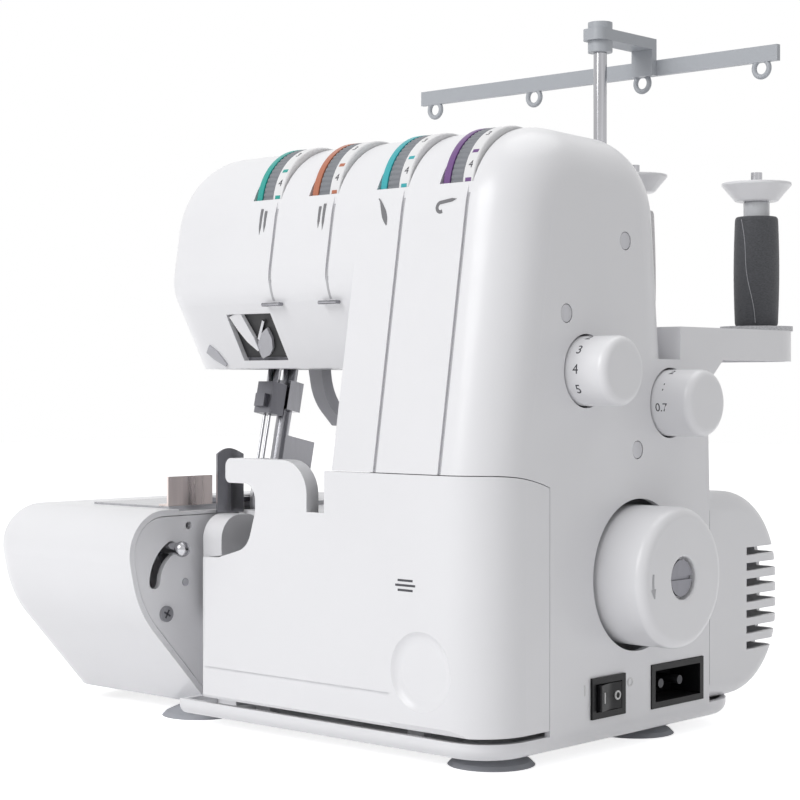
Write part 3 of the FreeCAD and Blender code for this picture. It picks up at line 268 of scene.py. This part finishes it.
def wrappedText(name, text, height, radius, centre, turn, body):
    # Flat lettering bent round an X axis: its width runs along X and its height round the drum.
    curve = bpy.data.curves.new(name, "FONT")
    curve.body = text
    curve.size = height
    curve.align_x = "CENTER"
    curve.align_y = "CENTER"
    curve.extrude = textRelief
    holder = bpy.data.objects.new(name + "Flat", curve)
    bpy.context.scene.collection.objects.link(holder)
    bpy.context.view_layer.update()
    flat = bpy.data.meshes.new_from_object(holder.evaluated_get(bpy.context.evaluated_depsgraph_get()))
    bpy.data.objects.remove(holder)
    place = np.zeros(len(flat.vertices) * 3)
    flat.vertices.foreach_get("co", place)
    place = place.reshape(-1, 3)
    angle = turn + place[:, 1] / radius
    reach = radius + place[:, 2]
    bent = np.stack([place[:, 0], -reach * np.cos(angle), reach * np.sin(angle)], axis=-1)
    flat.vertices.foreach_set("co", (bent + np.array(centre)).ravel())
    placePiece(name, flat, body, printAndPaintedShadeGrey)


def ribbon(name, line, across, outward, half, heights, body, finish):
    # A flat band along a line on a face: four corners at each station of the line, half a width to each
    # side, at two heights over the face. Its two ends close to a point.
    low, high = heights
    across = np.broadcast_to(np.array(across, dtype=float), line.shape)
    outward = np.broadcast_to(np.array(outward, dtype=float), line.shape)
    half = np.broadcast_to(np.array(half, dtype=float), len(line))[:, None]
    corners = ((-1, low), (1, low), (1, high), (-1, high))
    points = np.stack([line + side * half * across + rise * outward for side, rise in corners], axis=1)
    first = np.broadcast_to(points[:1].mean(axis=1, keepdims=True), points[:1].shape)
    last = np.broadcast_to(points[-1:].mean(axis=1, keepdims=True), points[-1:].shape)
    gridPiece(name, np.concatenate([first, points, last]), body, finish, closeColumns=True)


def sideways(line, outward):
    # Unit directions square to a line and to the face that it lies on.
    across = np.cross(np.gradient(line, axis=0), outward)
    return across / np.linalg.norm(across, axis=1, keepdims=True)


def outAt(turn):
    # Unit directions round an X axis.
    return np.stack([np.zeros_like(turn), np.cos(turn), np.sin(turn)], axis=-1)


# Tension dials: a coloured band, then a knurled grip, each turning with its number ring.

dialLook = {
    "knurls": 72,
    "knurlDepth": 0.6 * mm,
    "bandShare": 0.34,      # of the dial's width
    "boreShare": 0.2,       # of the dial's radius
    "edge": 0.8 * mm,
    "columns": 432,
    "digits": 10,
    "shownDigit": 4,
    "shownTurn": 22,        # degrees over the front, where the shown figure stands
    "digitHeight": 5.2 * mm,
}
dialColors = {1: "dial_teal", 2: "dial_orange", 3: "dial_turquoise", 4: "dial_purple"}


def tensionDial(number):
    body = f"tension_dial_{number}"
    low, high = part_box(body)
    width, radius = high.x - low.x, (high.z - low.z) / 2
    centre = [low.x, *middleOf(low, high)[1:]]
    edge, split = dialLook["edge"], width * dialLook["bandShare"]
    bore = radius * dialLook["boreShare"]
    angles = fullCircle(dialLook["columns"])
    band = np.array([
        (bore, 0), (radius - edge, 0), (radius - 0.3 * edge, 0.3 * edge), (radius, edge),
        (radius, split - 0.2 * edge), (radius - 0.2 * edge, split), (bore, split),
    ])
    bandPiece = gridPiece(f"dialBand{number}", turnedPoints(band, angles, centre), body,
                          finishes[dialColors[number]], closeRows=True, closeColumns=True)
    grip = np.array([
        (bore, split), (radius - edge, split), (radius - 0.1 * edge, split + edge),
        (radius - 0.1 * edge, width - edge), (radius - edge, width), (bore, width),
    ])
    # Knurl: a rounded saw of equal teeth, only where the rim stands full height.
    teeth = dialLook["knurlDepth"] * (np.abs(np.sin(angles * dialLook["knurls"] / 2)) - 1)
    full = np.array([0, 0.2, 1, 1, 0.2, 0])[:, None]
    gripPiece = gridPiece(f"dialGrip{number}", turnedPoints(grip, angles, centre, ripple=full * teeth), body,
                          gripGrey, closeRows=True, closeColumns=True)
    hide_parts(body)
    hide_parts(body)
    ringLow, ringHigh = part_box(f"number_ring_{number}")
    middle = [(ringLow.x + ringHigh.x) / 2, *centre[1:]]
    step = 2 * math.pi / dialLook["digits"]
    for digit in range(dialLook["digits"]):
        turn = math.radians(dialLook["shownTurn"]) + (dialLook["shownDigit"] - digit) * step
        wrappedText(f"dialDigit{number}_{digit}", str(digit), dialLook["digitHeight"], radius, middle, turn,
                    body)


for dialNumber in dialColors:
    tensionDial(dialNumber)
print("tension dials made")


# Plain figures on the two side knobs, each at so many degrees over the front.

knobFigures = {
    "stitch_length_knob": {"marks": {"2": 70, "3": 36, "4": 2, "5": -32}, "height": 6.4 * mm,
                           "inset": 16 * mm},
    "differential_feed_knob": {"marks": {"1": 28, "0.7": -8, "2": 66}, "height": 5.6 * mm, "inset": 16 * mm},
}
for knobName, figures in knobFigures.items():
    knobLow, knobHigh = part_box(knobName)
    knobRadius = (knobHigh.z - knobLow.z) / 2
    knobCentre = [knobHigh.x - figures["inset"], *middleOf(knobLow, knobHigh)[1:]]
    for mark, degrees in figures["marks"].items():
        wrappedText(f"{knobName}_{mark}", mark, figures["height"], knobRadius, knobCentre,
                    math.radians(degrees), knobName)
print("knob figures made")


# Thread packages: a package wound in close turns, each turn a small round ridge, on a pale core tube.

spoolLook = {
    "turnPitch": 0.62 * mm, "turnDepth": 0.16 * mm, "columns": 72, "rowsPerTurn": 6, "bulge": 0.7 * mm,
    "shoulderShare": 0.04, "shoulder": 1.2 * mm,
    "bore": 3.5 * mm, "coreRadius": 6.9 * mm, "coreEdge": 0.6 * mm,
}
strayLook = {"radius": 0.16 * mm, "sides": 8, "stations": 90, "turn": (-100, -62), "sway": 0.05, "waves": 9,
             "top": 0.97, "fall": 0.94}
packages = {
    "thread_spool": {"wound": 58 * mm, "low": 12.0 * mm, "high": 12.0 * mm, "finish": "thread_charcoal"},
    "thread_cone": {"wound": 66 * mm, "low": 12.4 * mm, "high": 11.6 * mm, "finish": "thread_pale"},
}


def woundPackage(nodeName, look):
    low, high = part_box(nodeName)
    centre = [*middleOf(low, high)[:2], low.z]
    tall = look["wound"]
    turns = int(tall / spoolLook["turnPitch"])
    share = np.linspace(0, 1, turns * spoolLook["rowsPerTurn"] + 1)
    angles = fullCircle(spoolLook["columns"])
    # Radius: straight taper, a slight swell in the middle, and rounded shoulders at both ends.
    taper = look["low"] + (look["high"] - look["low"]) * share
    swell = spoolLook["bulge"] * np.sin(math.pi * share) - spoolLook["bulge"]
    rise = np.minimum(1, np.minimum(share, 1 - share) / spoolLook["shoulderShare"])
    radius = taper + swell - spoolLook["shoulder"] * (1 - np.sqrt(1 - (1 - rise) ** 2))
    phase = 2 * math.pi * turns * share[:, None] + angles
    ridge = -spoolLook["turnDepth"] * (1 - np.abs(np.cos(phase / 2)))
    bore = spoolLook["bore"]
    profile = np.vstack([(bore, 0), np.column_stack([radius, tall * share]), (bore, tall)])
    ripple = np.vstack([np.zeros_like(angles), ridge, np.zeros_like(angles)])
    piece = gridPiece(nodeName + "Wound", turnedPoints(profile, angles, centre, "z", ripple), "machine",
                      finishes[look["finish"]], closeRows=True, closeColumns=True)
    core, edge, coreTop = spoolLook["coreRadius"], spoolLook["coreEdge"], high.z - low.z
    tube = np.array([
        (bore, tall), (core, tall), (core, coreTop - edge), (core - edge, coreTop), (bore, coreTop),
    ])
    tubePiece = gridPiece(nodeName + "Tube", turnedPoints(tube, angles, centre, "z"), "machine", tubeClear,
                          closeRows=True, closeColumns=True)
    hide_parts(nodeName)
    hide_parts(nodeName)
    return centre


def strayThread(look, centre):
    # A thin round line that slips down the package: its height falls evenly while it turns a little.
    share = np.linspace(0, 1, strayLook["stations"])[:, None]
    first, last = np.radians(strayLook["turn"])
    turn = first + (last - first) * share + strayLook["sway"] * np.sin(strayLook["waves"] * share)
    section = fullCircle(strayLook["sides"])
    reach = look["low"] - 0.5 * spoolLook["bulge"] * np.abs(2 * share - 1)
    reach = reach + strayLook["radius"] * np.cos(section)
    side = turn + strayLook["radius"] / look["low"] * np.sin(section)
    height = np.broadcast_to(look["wound"] * (strayLook["top"] - strayLook["fall"] * share), reach.shape)
    points = np.stack([reach * np.cos(side), reach * np.sin(side), height], axis=-1)
    gridPiece("strayThread", points + np.array(centre), "machine", strayPale, closeColumns=True)


packageCentres = {nodeName: woundPackage(nodeName, look) for nodeName, look in packages.items()}
strayThread(packages["thread_spool"], packageCentres["thread_spool"])
print("thread packages made")


# Lines in the four thread grooves; the two short ones run on round the chin to the thread hooks.

frontLook = {
    "seamY": -121 * mm, "seamZ": 132 * mm, "lean": math.radians(9),
    "roundY": -56.4 * mm, "roundZ": 246 * mm, "round": 46 * mm, "roundFrom": 253.2 * mm,
}
grooveLook = {
    "x": (-3 * mm, 36 * mm, 81 * mm, 120 * mm), "from": (223 * mm, 223 * mm, 132.5 * mm, 132.5 * mm),
    "to": 262 * mm, "stations": 40, "half": 0.9 * mm, "heights": (-1.19 * mm, -0.95 * mm),
}
tailLook = {
    "y": -78.95 * mm, "z": 224.88 * mm, "radius": 27 * mm, "turn": (184, 207), "stations": 20, "count": 2,
    "half": 0.7 * mm, "heights": (-0.1 * mm, 0.06 * mm),
}


def frontFace(z):
    # Y and outward direction of the leaning front, which bends back in one round arc near the top.
    lean, radius = frontLook["lean"], frontLook["round"]
    flatY = frontLook["seamY"] + (z - frontLook["seamZ"]) * math.tan(lean)
    rise = z - frontLook["roundZ"]
    roundY = frontLook["roundY"] - np.sqrt(np.maximum(radius ** 2 - rise ** 2, 0))
    bent = z > frontLook["roundFrom"]
    y = np.where(bent, roundY, flatY)
    outY = np.where(bent, (roundY - frontLook["roundY"]) / radius, -math.cos(lean))
    outZ = np.where(bent, rise / radius, math.sin(lean))
    return y, np.stack([np.zeros_like(y), outY, outZ], axis=-1)


for number, (grooveX, grooveFrom) in enumerate(zip(grooveLook["x"], grooveLook["from"]), start=1):
    grooveZ = np.linspace(grooveFrom, grooveLook["to"], grooveLook["stations"])
    grooveY, grooveOut = frontFace(grooveZ)
    grooveLine = np.stack([np.full_like(grooveZ, grooveX), grooveY, grooveZ], axis=-1)
    ribbon(f"grooveLine{number}", grooveLine, (1, 0, 0), grooveOut, grooveLook["half"],
           grooveLook["heights"], "machine", lineGrey)
tailOut = outAt(np.radians(np.linspace(*tailLook["turn"], tailLook["stations"])))
for number, tailX in enumerate(grooveLook["x"][:tailLook["count"]], start=1):
    tailLine = np.array((tailX, tailLook["y"], tailLook["z"])) + tailLook["radius"] * tailOut
    ribbon(f"grooveTail{number}", tailLine, (1, 0, 0), tailOut, tailLook["half"], tailLook["heights"],
           "machine", lineGrey)
print("groove lines made")


# Usual range on each number ring: one coloured bar over and one under its shown figure.

rangeLook = {"turn": 13, "half": 0.9 * mm, "reach": 1.7 * mm, "stations": 5,
             "heights": (-0.1 * mm, 0.08 * mm)}
for dialNumber, dialColor in dialColors.items():
    dialLow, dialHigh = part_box(f"tension_dial_{dialNumber}")
    ringLow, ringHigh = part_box(f"number_ring_{dialNumber}")
    ringRadius = (dialHigh.z - dialLow.z) / 2
    ringMiddle = np.array([(ringLow.x + ringHigh.x) / 2, *middleOf(dialLow, dialHigh)[1:]])
    barReach = np.linspace(-1, 1, rangeLook["stations"])[:, None] * rangeLook["reach"] * np.array((1, 0, 0))
    for side in (-1, 1):
        turn = math.radians(dialLook["shownTurn"] + side * rangeLook["turn"])
        out = np.array((0, -math.cos(turn), math.sin(turn)))
        ribbon(f"rangeBar{dialNumber}_{side}", ringMiddle + ringRadius * out + barReach,
               np.cross(out, (1, 0, 0)), out, rangeLook["half"], rangeLook["heights"],
               f"tension_dial_{dialNumber}", finishes[dialColor])
print("range bars made")


# Threading signs under the dials: two needles for the first pair, a blade and an arm for the others.

signLook = {
    "x": (-12 * mm, 28.5 * mm, 68.5 * mm, 107.5 * mm), "z": 252 * mm, "tall": 13 * mm, "stations": 25,
    "tip": 0.02 * mm, "heights": (-0.05 * mm, 0.12 * mm),
}
needleLook = {"apart": 1.5 * mm, "half": 0.75 * mm, "taper": 3.2, "short": 0.82}
bladeLook = {"reach": 3.4 * mm, "curve": 0.7, "half": 0.25 * mm, "belly": 1.3 * mm, "bellyCurve": 1.4}
armLook = {
    "from": -60, "sweep": 210, "hookShare": 0.45, "radius": 2.2 * mm, "left": 3 * mm,
    "reach": 9 * mm, "rise": 1.2 * mm, "half": 0.8 * mm, "taper": 6,
}


def frontSign(name, u, v, half):
    # A line drawn in the face's own width and height, laid on the leaning front.
    z = v * math.cos(frontLook["lean"]) + signLook["z"]
    y, out = frontFace(z)
    line = np.stack([u, y, z], axis=-1)
    ribbon(name, line, sideways(line, out), out, half, signLook["heights"], "machine", signGrey)


signShare = np.linspace(0, 1, signLook["stations"])
signFall = signLook["tall"] * (0.5 - signShare)
needleHalf = needleLook["half"] * np.minimum(1, needleLook["taper"] * (1 - signShare)) + signLook["tip"]
# The long needle stands on the left for the first dial and on the right for the second.
for number, longSide in ((1, -1), (2, 1)):
    for side in (-1, 1):
        needleX = np.full_like(signShare, signLook["x"][number - 1] + side * needleLook["apart"])
        frontSign(f"needleSign{number}_{side}", needleX,
                  signFall * (1 if side == longSide else needleLook["short"]), needleHalf)
bladeX = signLook["x"][2] + bladeLook["reach"] * (2 * signShare ** bladeLook["curve"] - 1)
bladeBelly = bladeLook["belly"] * np.sin(math.pi * signShare ** bladeLook["bellyCurve"])
frontSign("bladeSign", bladeX, signFall, bladeLook["half"] + bladeBelly)
hookShare = armLook["hookShare"]
hookTurn = np.radians(armLook["from"] - armLook["sweep"] * np.minimum(signShare / hookShare, 1))
armRun = np.maximum(signShare - hookShare, 0) / (1 - hookShare)
armStart = signLook["x"][3] - armLook["left"]
armHalf = armLook["half"] * np.minimum(1, armLook["taper"] * (1 - signShare)) + signLook["tip"]
frontSign("armSign", armStart + armLook["radius"] * np.cos(hookTurn) + armLook["reach"] * armRun,
          armLook["radius"] * np.sin(hookTurn) + armLook["rise"] * armRun, armHalf)
print("threading signs made")


# Plain three-bar sign on the looper cover and the turning arrow on the handwheel.

barLook = {
    "x": 100 * mm, "z": 82 * mm, "long": 12 * mm, "shorter": 3 * mm, "pitch": 2.2 * mm, "stations": 9,
    "half": 0.5 * mm, "heights": (-0.05 * mm, 0.1 * mm),
}
for row in (-1, 0, 1):
    barLong = barLook["long"] - abs(row) * barLook["shorter"]
    barX = np.linspace(-0.5, 0.5, barLook["stations"]) * barLong + barLook["x"]
    barZ = np.full_like(barX, barLook["z"] + row * barLook["pitch"])
    barLine = np.stack([barX, np.full_like(barX, frontLook["seamY"]), barZ], axis=-1)
    ribbon(f"coverBar{row + 1}", barLine, (0, 0, 1), (0, -1, 0), barLook["half"], barLook["heights"],
           "looper_cover", printAndPaintedShadeGrey)
arrowLook = {
    "radius": 25 * mm, "turn": (172, 198), "stations": 40, "half": 0.45 * mm, "head": 1.7 * mm,
    "headShare": 0.6, "tip": 0.02 * mm, "heights": (-0.1 * mm, 0.35 * mm),
}
wheelLow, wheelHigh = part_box("handwheel")
wheelCentre = np.array([wheelHigh.x, *middleOf(wheelLow, wheelHigh)[1:]])
arrowShare = np.linspace(0, 1, arrowLook["stations"])
arrowFrom, arrowTo = arrowLook["turn"]
arrowOut = outAt(np.radians(arrowFrom + arrowShare * (arrowTo - arrowFrom)))
arrowTaper = arrowLook["head"] * (1 - arrowShare) / (1 - arrowLook["headShare"]) + arrowLook["tip"]
arrowHalf = np.where(arrowShare > arrowLook["headShare"], arrowTaper, arrowLook["half"])
ribbon("wheelArrow", wheelCentre + arrowLook["radius"] * arrowOut, arrowOut, (1, 0, 0), arrowHalf,
       arrowLook["heights"], "handwheel", lineGrey)
print("bars and arrow made")


# Under the chin: what shows in the take-up window, with a near-black sheet of painted shade over the plate
# in it, and the thread cutter beside it. Sizes in millimetres.

chinLook = {"y": -107.06 * mm, "z": 220 * mm, "down": (0, 0.4819, -0.8762), "out": (0, -0.8762, -0.4819),
            "stations": 30}
windowPieces = {
    # Near-black sheet over the plate in the window: painted shade for the shadow inside the window.
    "windowPaintedShade": {
        "x": (-25, -25), "z": (206.5, 184.5), "half": (15.8, 15.8),
        "heights": (-2.9, -2.5), "finish": paintedShadeBlack,
    },
    "windowTooth": {
        "x": (-35.5, -33.5, -31, -28.5), "z": (206.6, 200, 194, 188.5), "half": (4.6, 4.2, 3.2, 0.5),
        "heights": (-2.4, -0.5), "finish": finishes["casing_white"],
    },
    "takeUpArm": {
        "x": (-17, -19, -22, -25.5, -28), "z": (199, 195.5, 191.5, 188, 184.8),
        "half": (0.5, 3.4, 4.6, 3.8, 0.5), "heights": (-2.4, -0.9), "finish": finishes["lever_grey"],
    },
    "takeUpRod": {
        "x": (-17, -25.5), "z": (203, 194), "half": (0.7, 0.7),
        "heights": (-2.0, -0.8), "finish": finishes["bright_steel"],
    },
    "threadCutter": {
        "x": (-64, -60, -55), "z": (190.5, 187, 182), "half": (3.0, 3.2, 1.0),
        "heights": (-0.2, 0.9), "finish": finishes["lever_grey"],
    },
}


def chinPiece(name, look):
    # Straight runs between a few points on the sloping face under the chin, with a width that changes along.
    knots = np.linspace(0, 1, len(look["x"]))
    share = np.linspace(0, 1, chinLook["stations"])
    x, z, half = [np.interp(share, knots, look[key]) * mm for key in ("x", "z", "half")]
    y = chinLook["y"] + (z - chinLook["z"]) * chinLook["down"][1] / chinLook["down"][2]
    line = np.stack([x, y, z], axis=-1)
    ribbon(name, line, sideways(line, chinLook["out"]), chinLook["out"], half,
           [height * mm for height in look["heights"]], "machine", look["finish"])


for pieceName, pieceLook in windowPieces.items():
    chinPiece(pieceName, pieceLook)
print("take-up window made")


# Bed panel: the cross in its screw head, drawn as two dark bars of painted shade for the shadow in its
# recess, and the ball on the release lever's pin.

crossLook = {
    "centre": (-57 * mm, -125 * mm, 57 * mm), "long": 4.6 * mm, "stations": 5, "half": 0.5 * mm,
    "heights": (-0.1 * mm, 0.06 * mm),
    "headings": {"crossUp": (0, 0.5, 0.866), "crossOver": (0, -0.866, 0.5)},
}
crossShare = np.linspace(-0.5, 0.5, crossLook["stations"])[:, None]
# The two dark bars are painted shade for the shadow in the screw's cross recess.
for crossName, heading in crossLook["headings"].items():
    crossLine = np.array(crossLook["centre"]) + crossShare * crossLook["long"] * np.array(heading)
    ribbon(crossName, crossLine, np.cross(heading, (1, 0, 0)), (1, 0, 0), crossLook["half"],
           crossLook["heights"], "machine", printAndPaintedShadeGrey)
ballLook = {
    "inset": 1.0 * mm, "y": -112 * mm, "z": 72 * mm, "reach": 20.0 * mm, "turn": math.radians(118),
    "radius": 4.0 * mm, "rows": 25, "columns": 48,
}
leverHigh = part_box("release_lever")[1]
ballCentre = (leverHigh.x - ballLook["inset"],
              ballLook["y"] + ballLook["reach"] * math.cos(ballLook["turn"]),
              ballLook["z"] + ballLook["reach"] * math.sin(ballLook["turn"]))
ballArc = np.linspace(0, math.pi, ballLook["rows"])
ballProfile = ballLook["radius"] * np.column_stack([np.sin(ballArc), -np.cos(ballArc)])
gridPiece("leverBall", turnedPoints(ballProfile, fullCircle(ballLook["columns"]), ballCentre),
          "release_lever", finishes["bright_steel"], closeColumns=True)
print("bed panel details made")


# Chip guard: an upright plate on the knife housing, bent to the right towards its rear.

guardLook = {
    "x": -54.5 * mm, "bend": 5 * mm, "front": -94 * mm, "deep": 14 * mm, "low": 106.3 * mm,
    "tall": 30 * mm, "crown": 3 * mm, "heights": (-0.6 * mm, 0.6 * mm), "stations": 40,
}
guardShare = np.linspace(0, 1, guardLook["stations"])
guardTall = guardLook["tall"] + guardLook["crown"] * np.sin(math.pi * guardShare)
guardLine = np.stack([guardLook["x"] + guardLook["bend"] * guardShare ** 2,
                      guardLook["front"] + guardLook["deep"] * guardShare,
                      guardLook["low"] + guardTall / 2], axis=-1)
ribbon("chipGuard", guardLine, (0, 0, 1), sideways(guardLine, (0, 0, 1)), guardTall / 2,
       guardLook["heights"], "machine", finishes["hook_steel"])
print("chip guard made")


# Power switch: a stroke and a ring on the rocker's two halves, and again on the casing beside it.

switchLook = {"tall": 5 * mm, "strokeStations": 5, "ringRadius": 1.8 * mm, "ringStations": 41,
              "half": 0.35 * mm}
switchMarks = {
    "switchStroke": {"centre": (151.0 * mm, -40.5 * mm, 27.5 * mm), "heights": (-0.4 * mm, 0.3 * mm),
                     "body": "switch_rocker"},
    "switchRing": {"centre": (150.1 * mm, -29.0 * mm, 27.5 * mm), "heights": (-0.4 * mm, 0.2 * mm),
                   "body": "switch_rocker"},
    "panelStroke": {"centre": (148.4 * mm, -52.5 * mm, 32 * mm), "heights": (-0.1 * mm, 0.3 * mm),
                    "body": "machine"},
    "panelRing": {"centre": (148.4 * mm, -17.0 * mm, 32 * mm), "heights": (-0.1 * mm, 0.3 * mm),
                  "body": "machine"},
}
strokeShare = np.linspace(-0.5, 0.5, switchLook["strokeStations"])[:, None]
strokeLine = strokeShare * switchLook["tall"] * np.array((0, 0, 1))
ringOut = outAt(np.linspace(0, 2 * math.pi, switchLook["ringStations"]))
for markName, markLook in switchMarks.items():
    if markName.endswith("Stroke"):
        markLine, markAcross = strokeLine, (0, 1, 0)
    else:
        markLine, markAcross = switchLook["ringRadius"] * ringOut, ringOut
    ribbon(markName, np.array(markLook["centre"]) + markLine, markAcross, (1, 0, 0), switchLook["half"],
           markLook["heights"], markLook["body"], signWhite)
print("switch marks made")


# Stage: a pale floor, a white surround, soft lamps and the photograph's camera.

stageLook = {
    "floorSize": 8.0, "floorColor": (0.86, 0.86, 0.87), "floorShade": (0.995, 1), "floorScale": 3.0,
    "floorRoughness": 0.9, "floorGlow": 0.75, "surround": 0.40,
}
lampTarget = (0, 0, 0.15)
lampLooks = {
    "keyLamp": {"place": (-0.25, -1.9, 1.3), "size": 1.4, "watts": 25.5},
    "fillLamp": {"place": (1.7, -0.4, 0.8), "size": 1.2, "watts": 0.6},
    "topLamp": {"place": (0.1, 0.5, 1.9), "size": 1.6, "watts": 10.0},
}
cameraLook = {
    "place": (0.6806, -0.7607, 0.1717),
    "azimuth": 42.38,
    "down": 0.45,
    "lens": 87.03,
    "sensor": 36.0,
}


def whiteWhereSeen(tree, dim, bright, output):
    # The bright shader where the camera, a mirror or glass looks at the stage, and the dim one for the
    # light that the stage gives.
    path = tree.nodes.new("ShaderNodeLightPath")
    seen = path.outputs["Is Camera Ray"]
    for rayName in ("Is Glossy Ray", "Is Transmission Ray"):
        larger = tree.nodes.new("ShaderNodeMath")
        larger.operation = "MAXIMUM"
        tree.links.new(seen, larger.inputs[0])
        tree.links.new(path.outputs[rayName], larger.inputs[1])
        seen = larger.outputs["Value"]
    mixed = tree.nodes.new("ShaderNodeMixShader")
    tree.links.new(seen, mixed.inputs["Fac"])
    tree.links.new(dim, mixed.inputs[1])
    tree.links.new(bright, mixed.inputs[2])
    tree.links.new(mixed.outputs["Shader"], tree.nodes[output].inputs["Surface"])


def buildFloor():
    half = stageLook["floorSize"] / 2
    corners = [(-half, -half, 0), (half, -half, 0), (half, half, 0), (-half, half, 0)]
    mesh = bpy.data.meshes.new("floor")
    mesh.from_pydata(corners, [], [(0, 1, 2, 3)])
    floor = bpy.data.objects.new("floor", mesh)
    bpy.context.scene.collection.objects.link(floor)
    material, tree, shader = newShader("floorPaper")
    shadeBy(tree, shader, noiseOn(tree, stageLook["floorScale"]), stageLook["floorColor"],
            stageLook["floorShade"])
    shader.inputs["Roughness"].default_value = stageLook["floorRoughness"]
    glow = tree.nodes.new("ShaderNodeEmission")
    glow.inputs["Strength"].default_value = stageLook["floorGlow"]
    both = tree.nodes.new("ShaderNodeAddShader")
    tree.links.new(shader.outputs["BSDF"], both.inputs[0])
    tree.links.new(glow.outputs["Emission"], both.inputs[1])
    whiteWhereSeen(tree, shader.outputs["BSDF"], both.outputs["Shader"], "Material Output")
    mesh.materials.append(material)


def buildSurround():
    world = bpy.data.worlds.new("studio")
    bpy.context.scene.world = world
    world.use_nodes = True
    tree = world.node_tree
    dim = tree.nodes["Background"]
    dim.inputs["Color"].default_value = (1, 1, 1, 1)
    dim.inputs["Strength"].default_value = stageLook["surround"]
    bright = tree.nodes.new("ShaderNodeBackground")
    bright.inputs["Color"].default_value = (1, 1, 1, 1)
    whiteWhereSeen(tree, dim.outputs["Background"], bright.outputs["Background"], "World Output")


def softLamp(name, look):
    lamp = bpy.data.lights.new(name, "AREA")
    lamp.shape = "DISK"
    lamp.size = look["size"]
    lamp.energy = look["watts"]
    holder = bpy.data.objects.new(name, lamp)
    holder.location = look["place"]
    holder.rotation_euler = (Vector(lampTarget) - Vector(look["place"])).to_track_quat("-Z", "Y").to_euler()
    bpy.context.scene.collection.objects.link(holder)


buildFloor()
buildSurround()
for lampName, lampLook in lampLooks.items():
    softLamp(lampName, lampLook)
camera = bpy.data.cameras.new("camera")
camera.lens = cameraLook["lens"]
camera.sensor_width = cameraLook["sensor"]
cameraHolder = bpy.data.objects.new("camera", camera)
cameraHolder.location = cameraLook["place"]
cameraHolder.rotation_euler = (math.radians(90 - cameraLook["down"]), 0, math.radians(cameraLook["azimuth"]))
bpy.context.scene.collection.objects.link(cameraHolder)
bpy.context.scene.camera = cameraHolder
bpy.context.scene.view_settings.view_transform = "Standard"
print("stage and camera set")
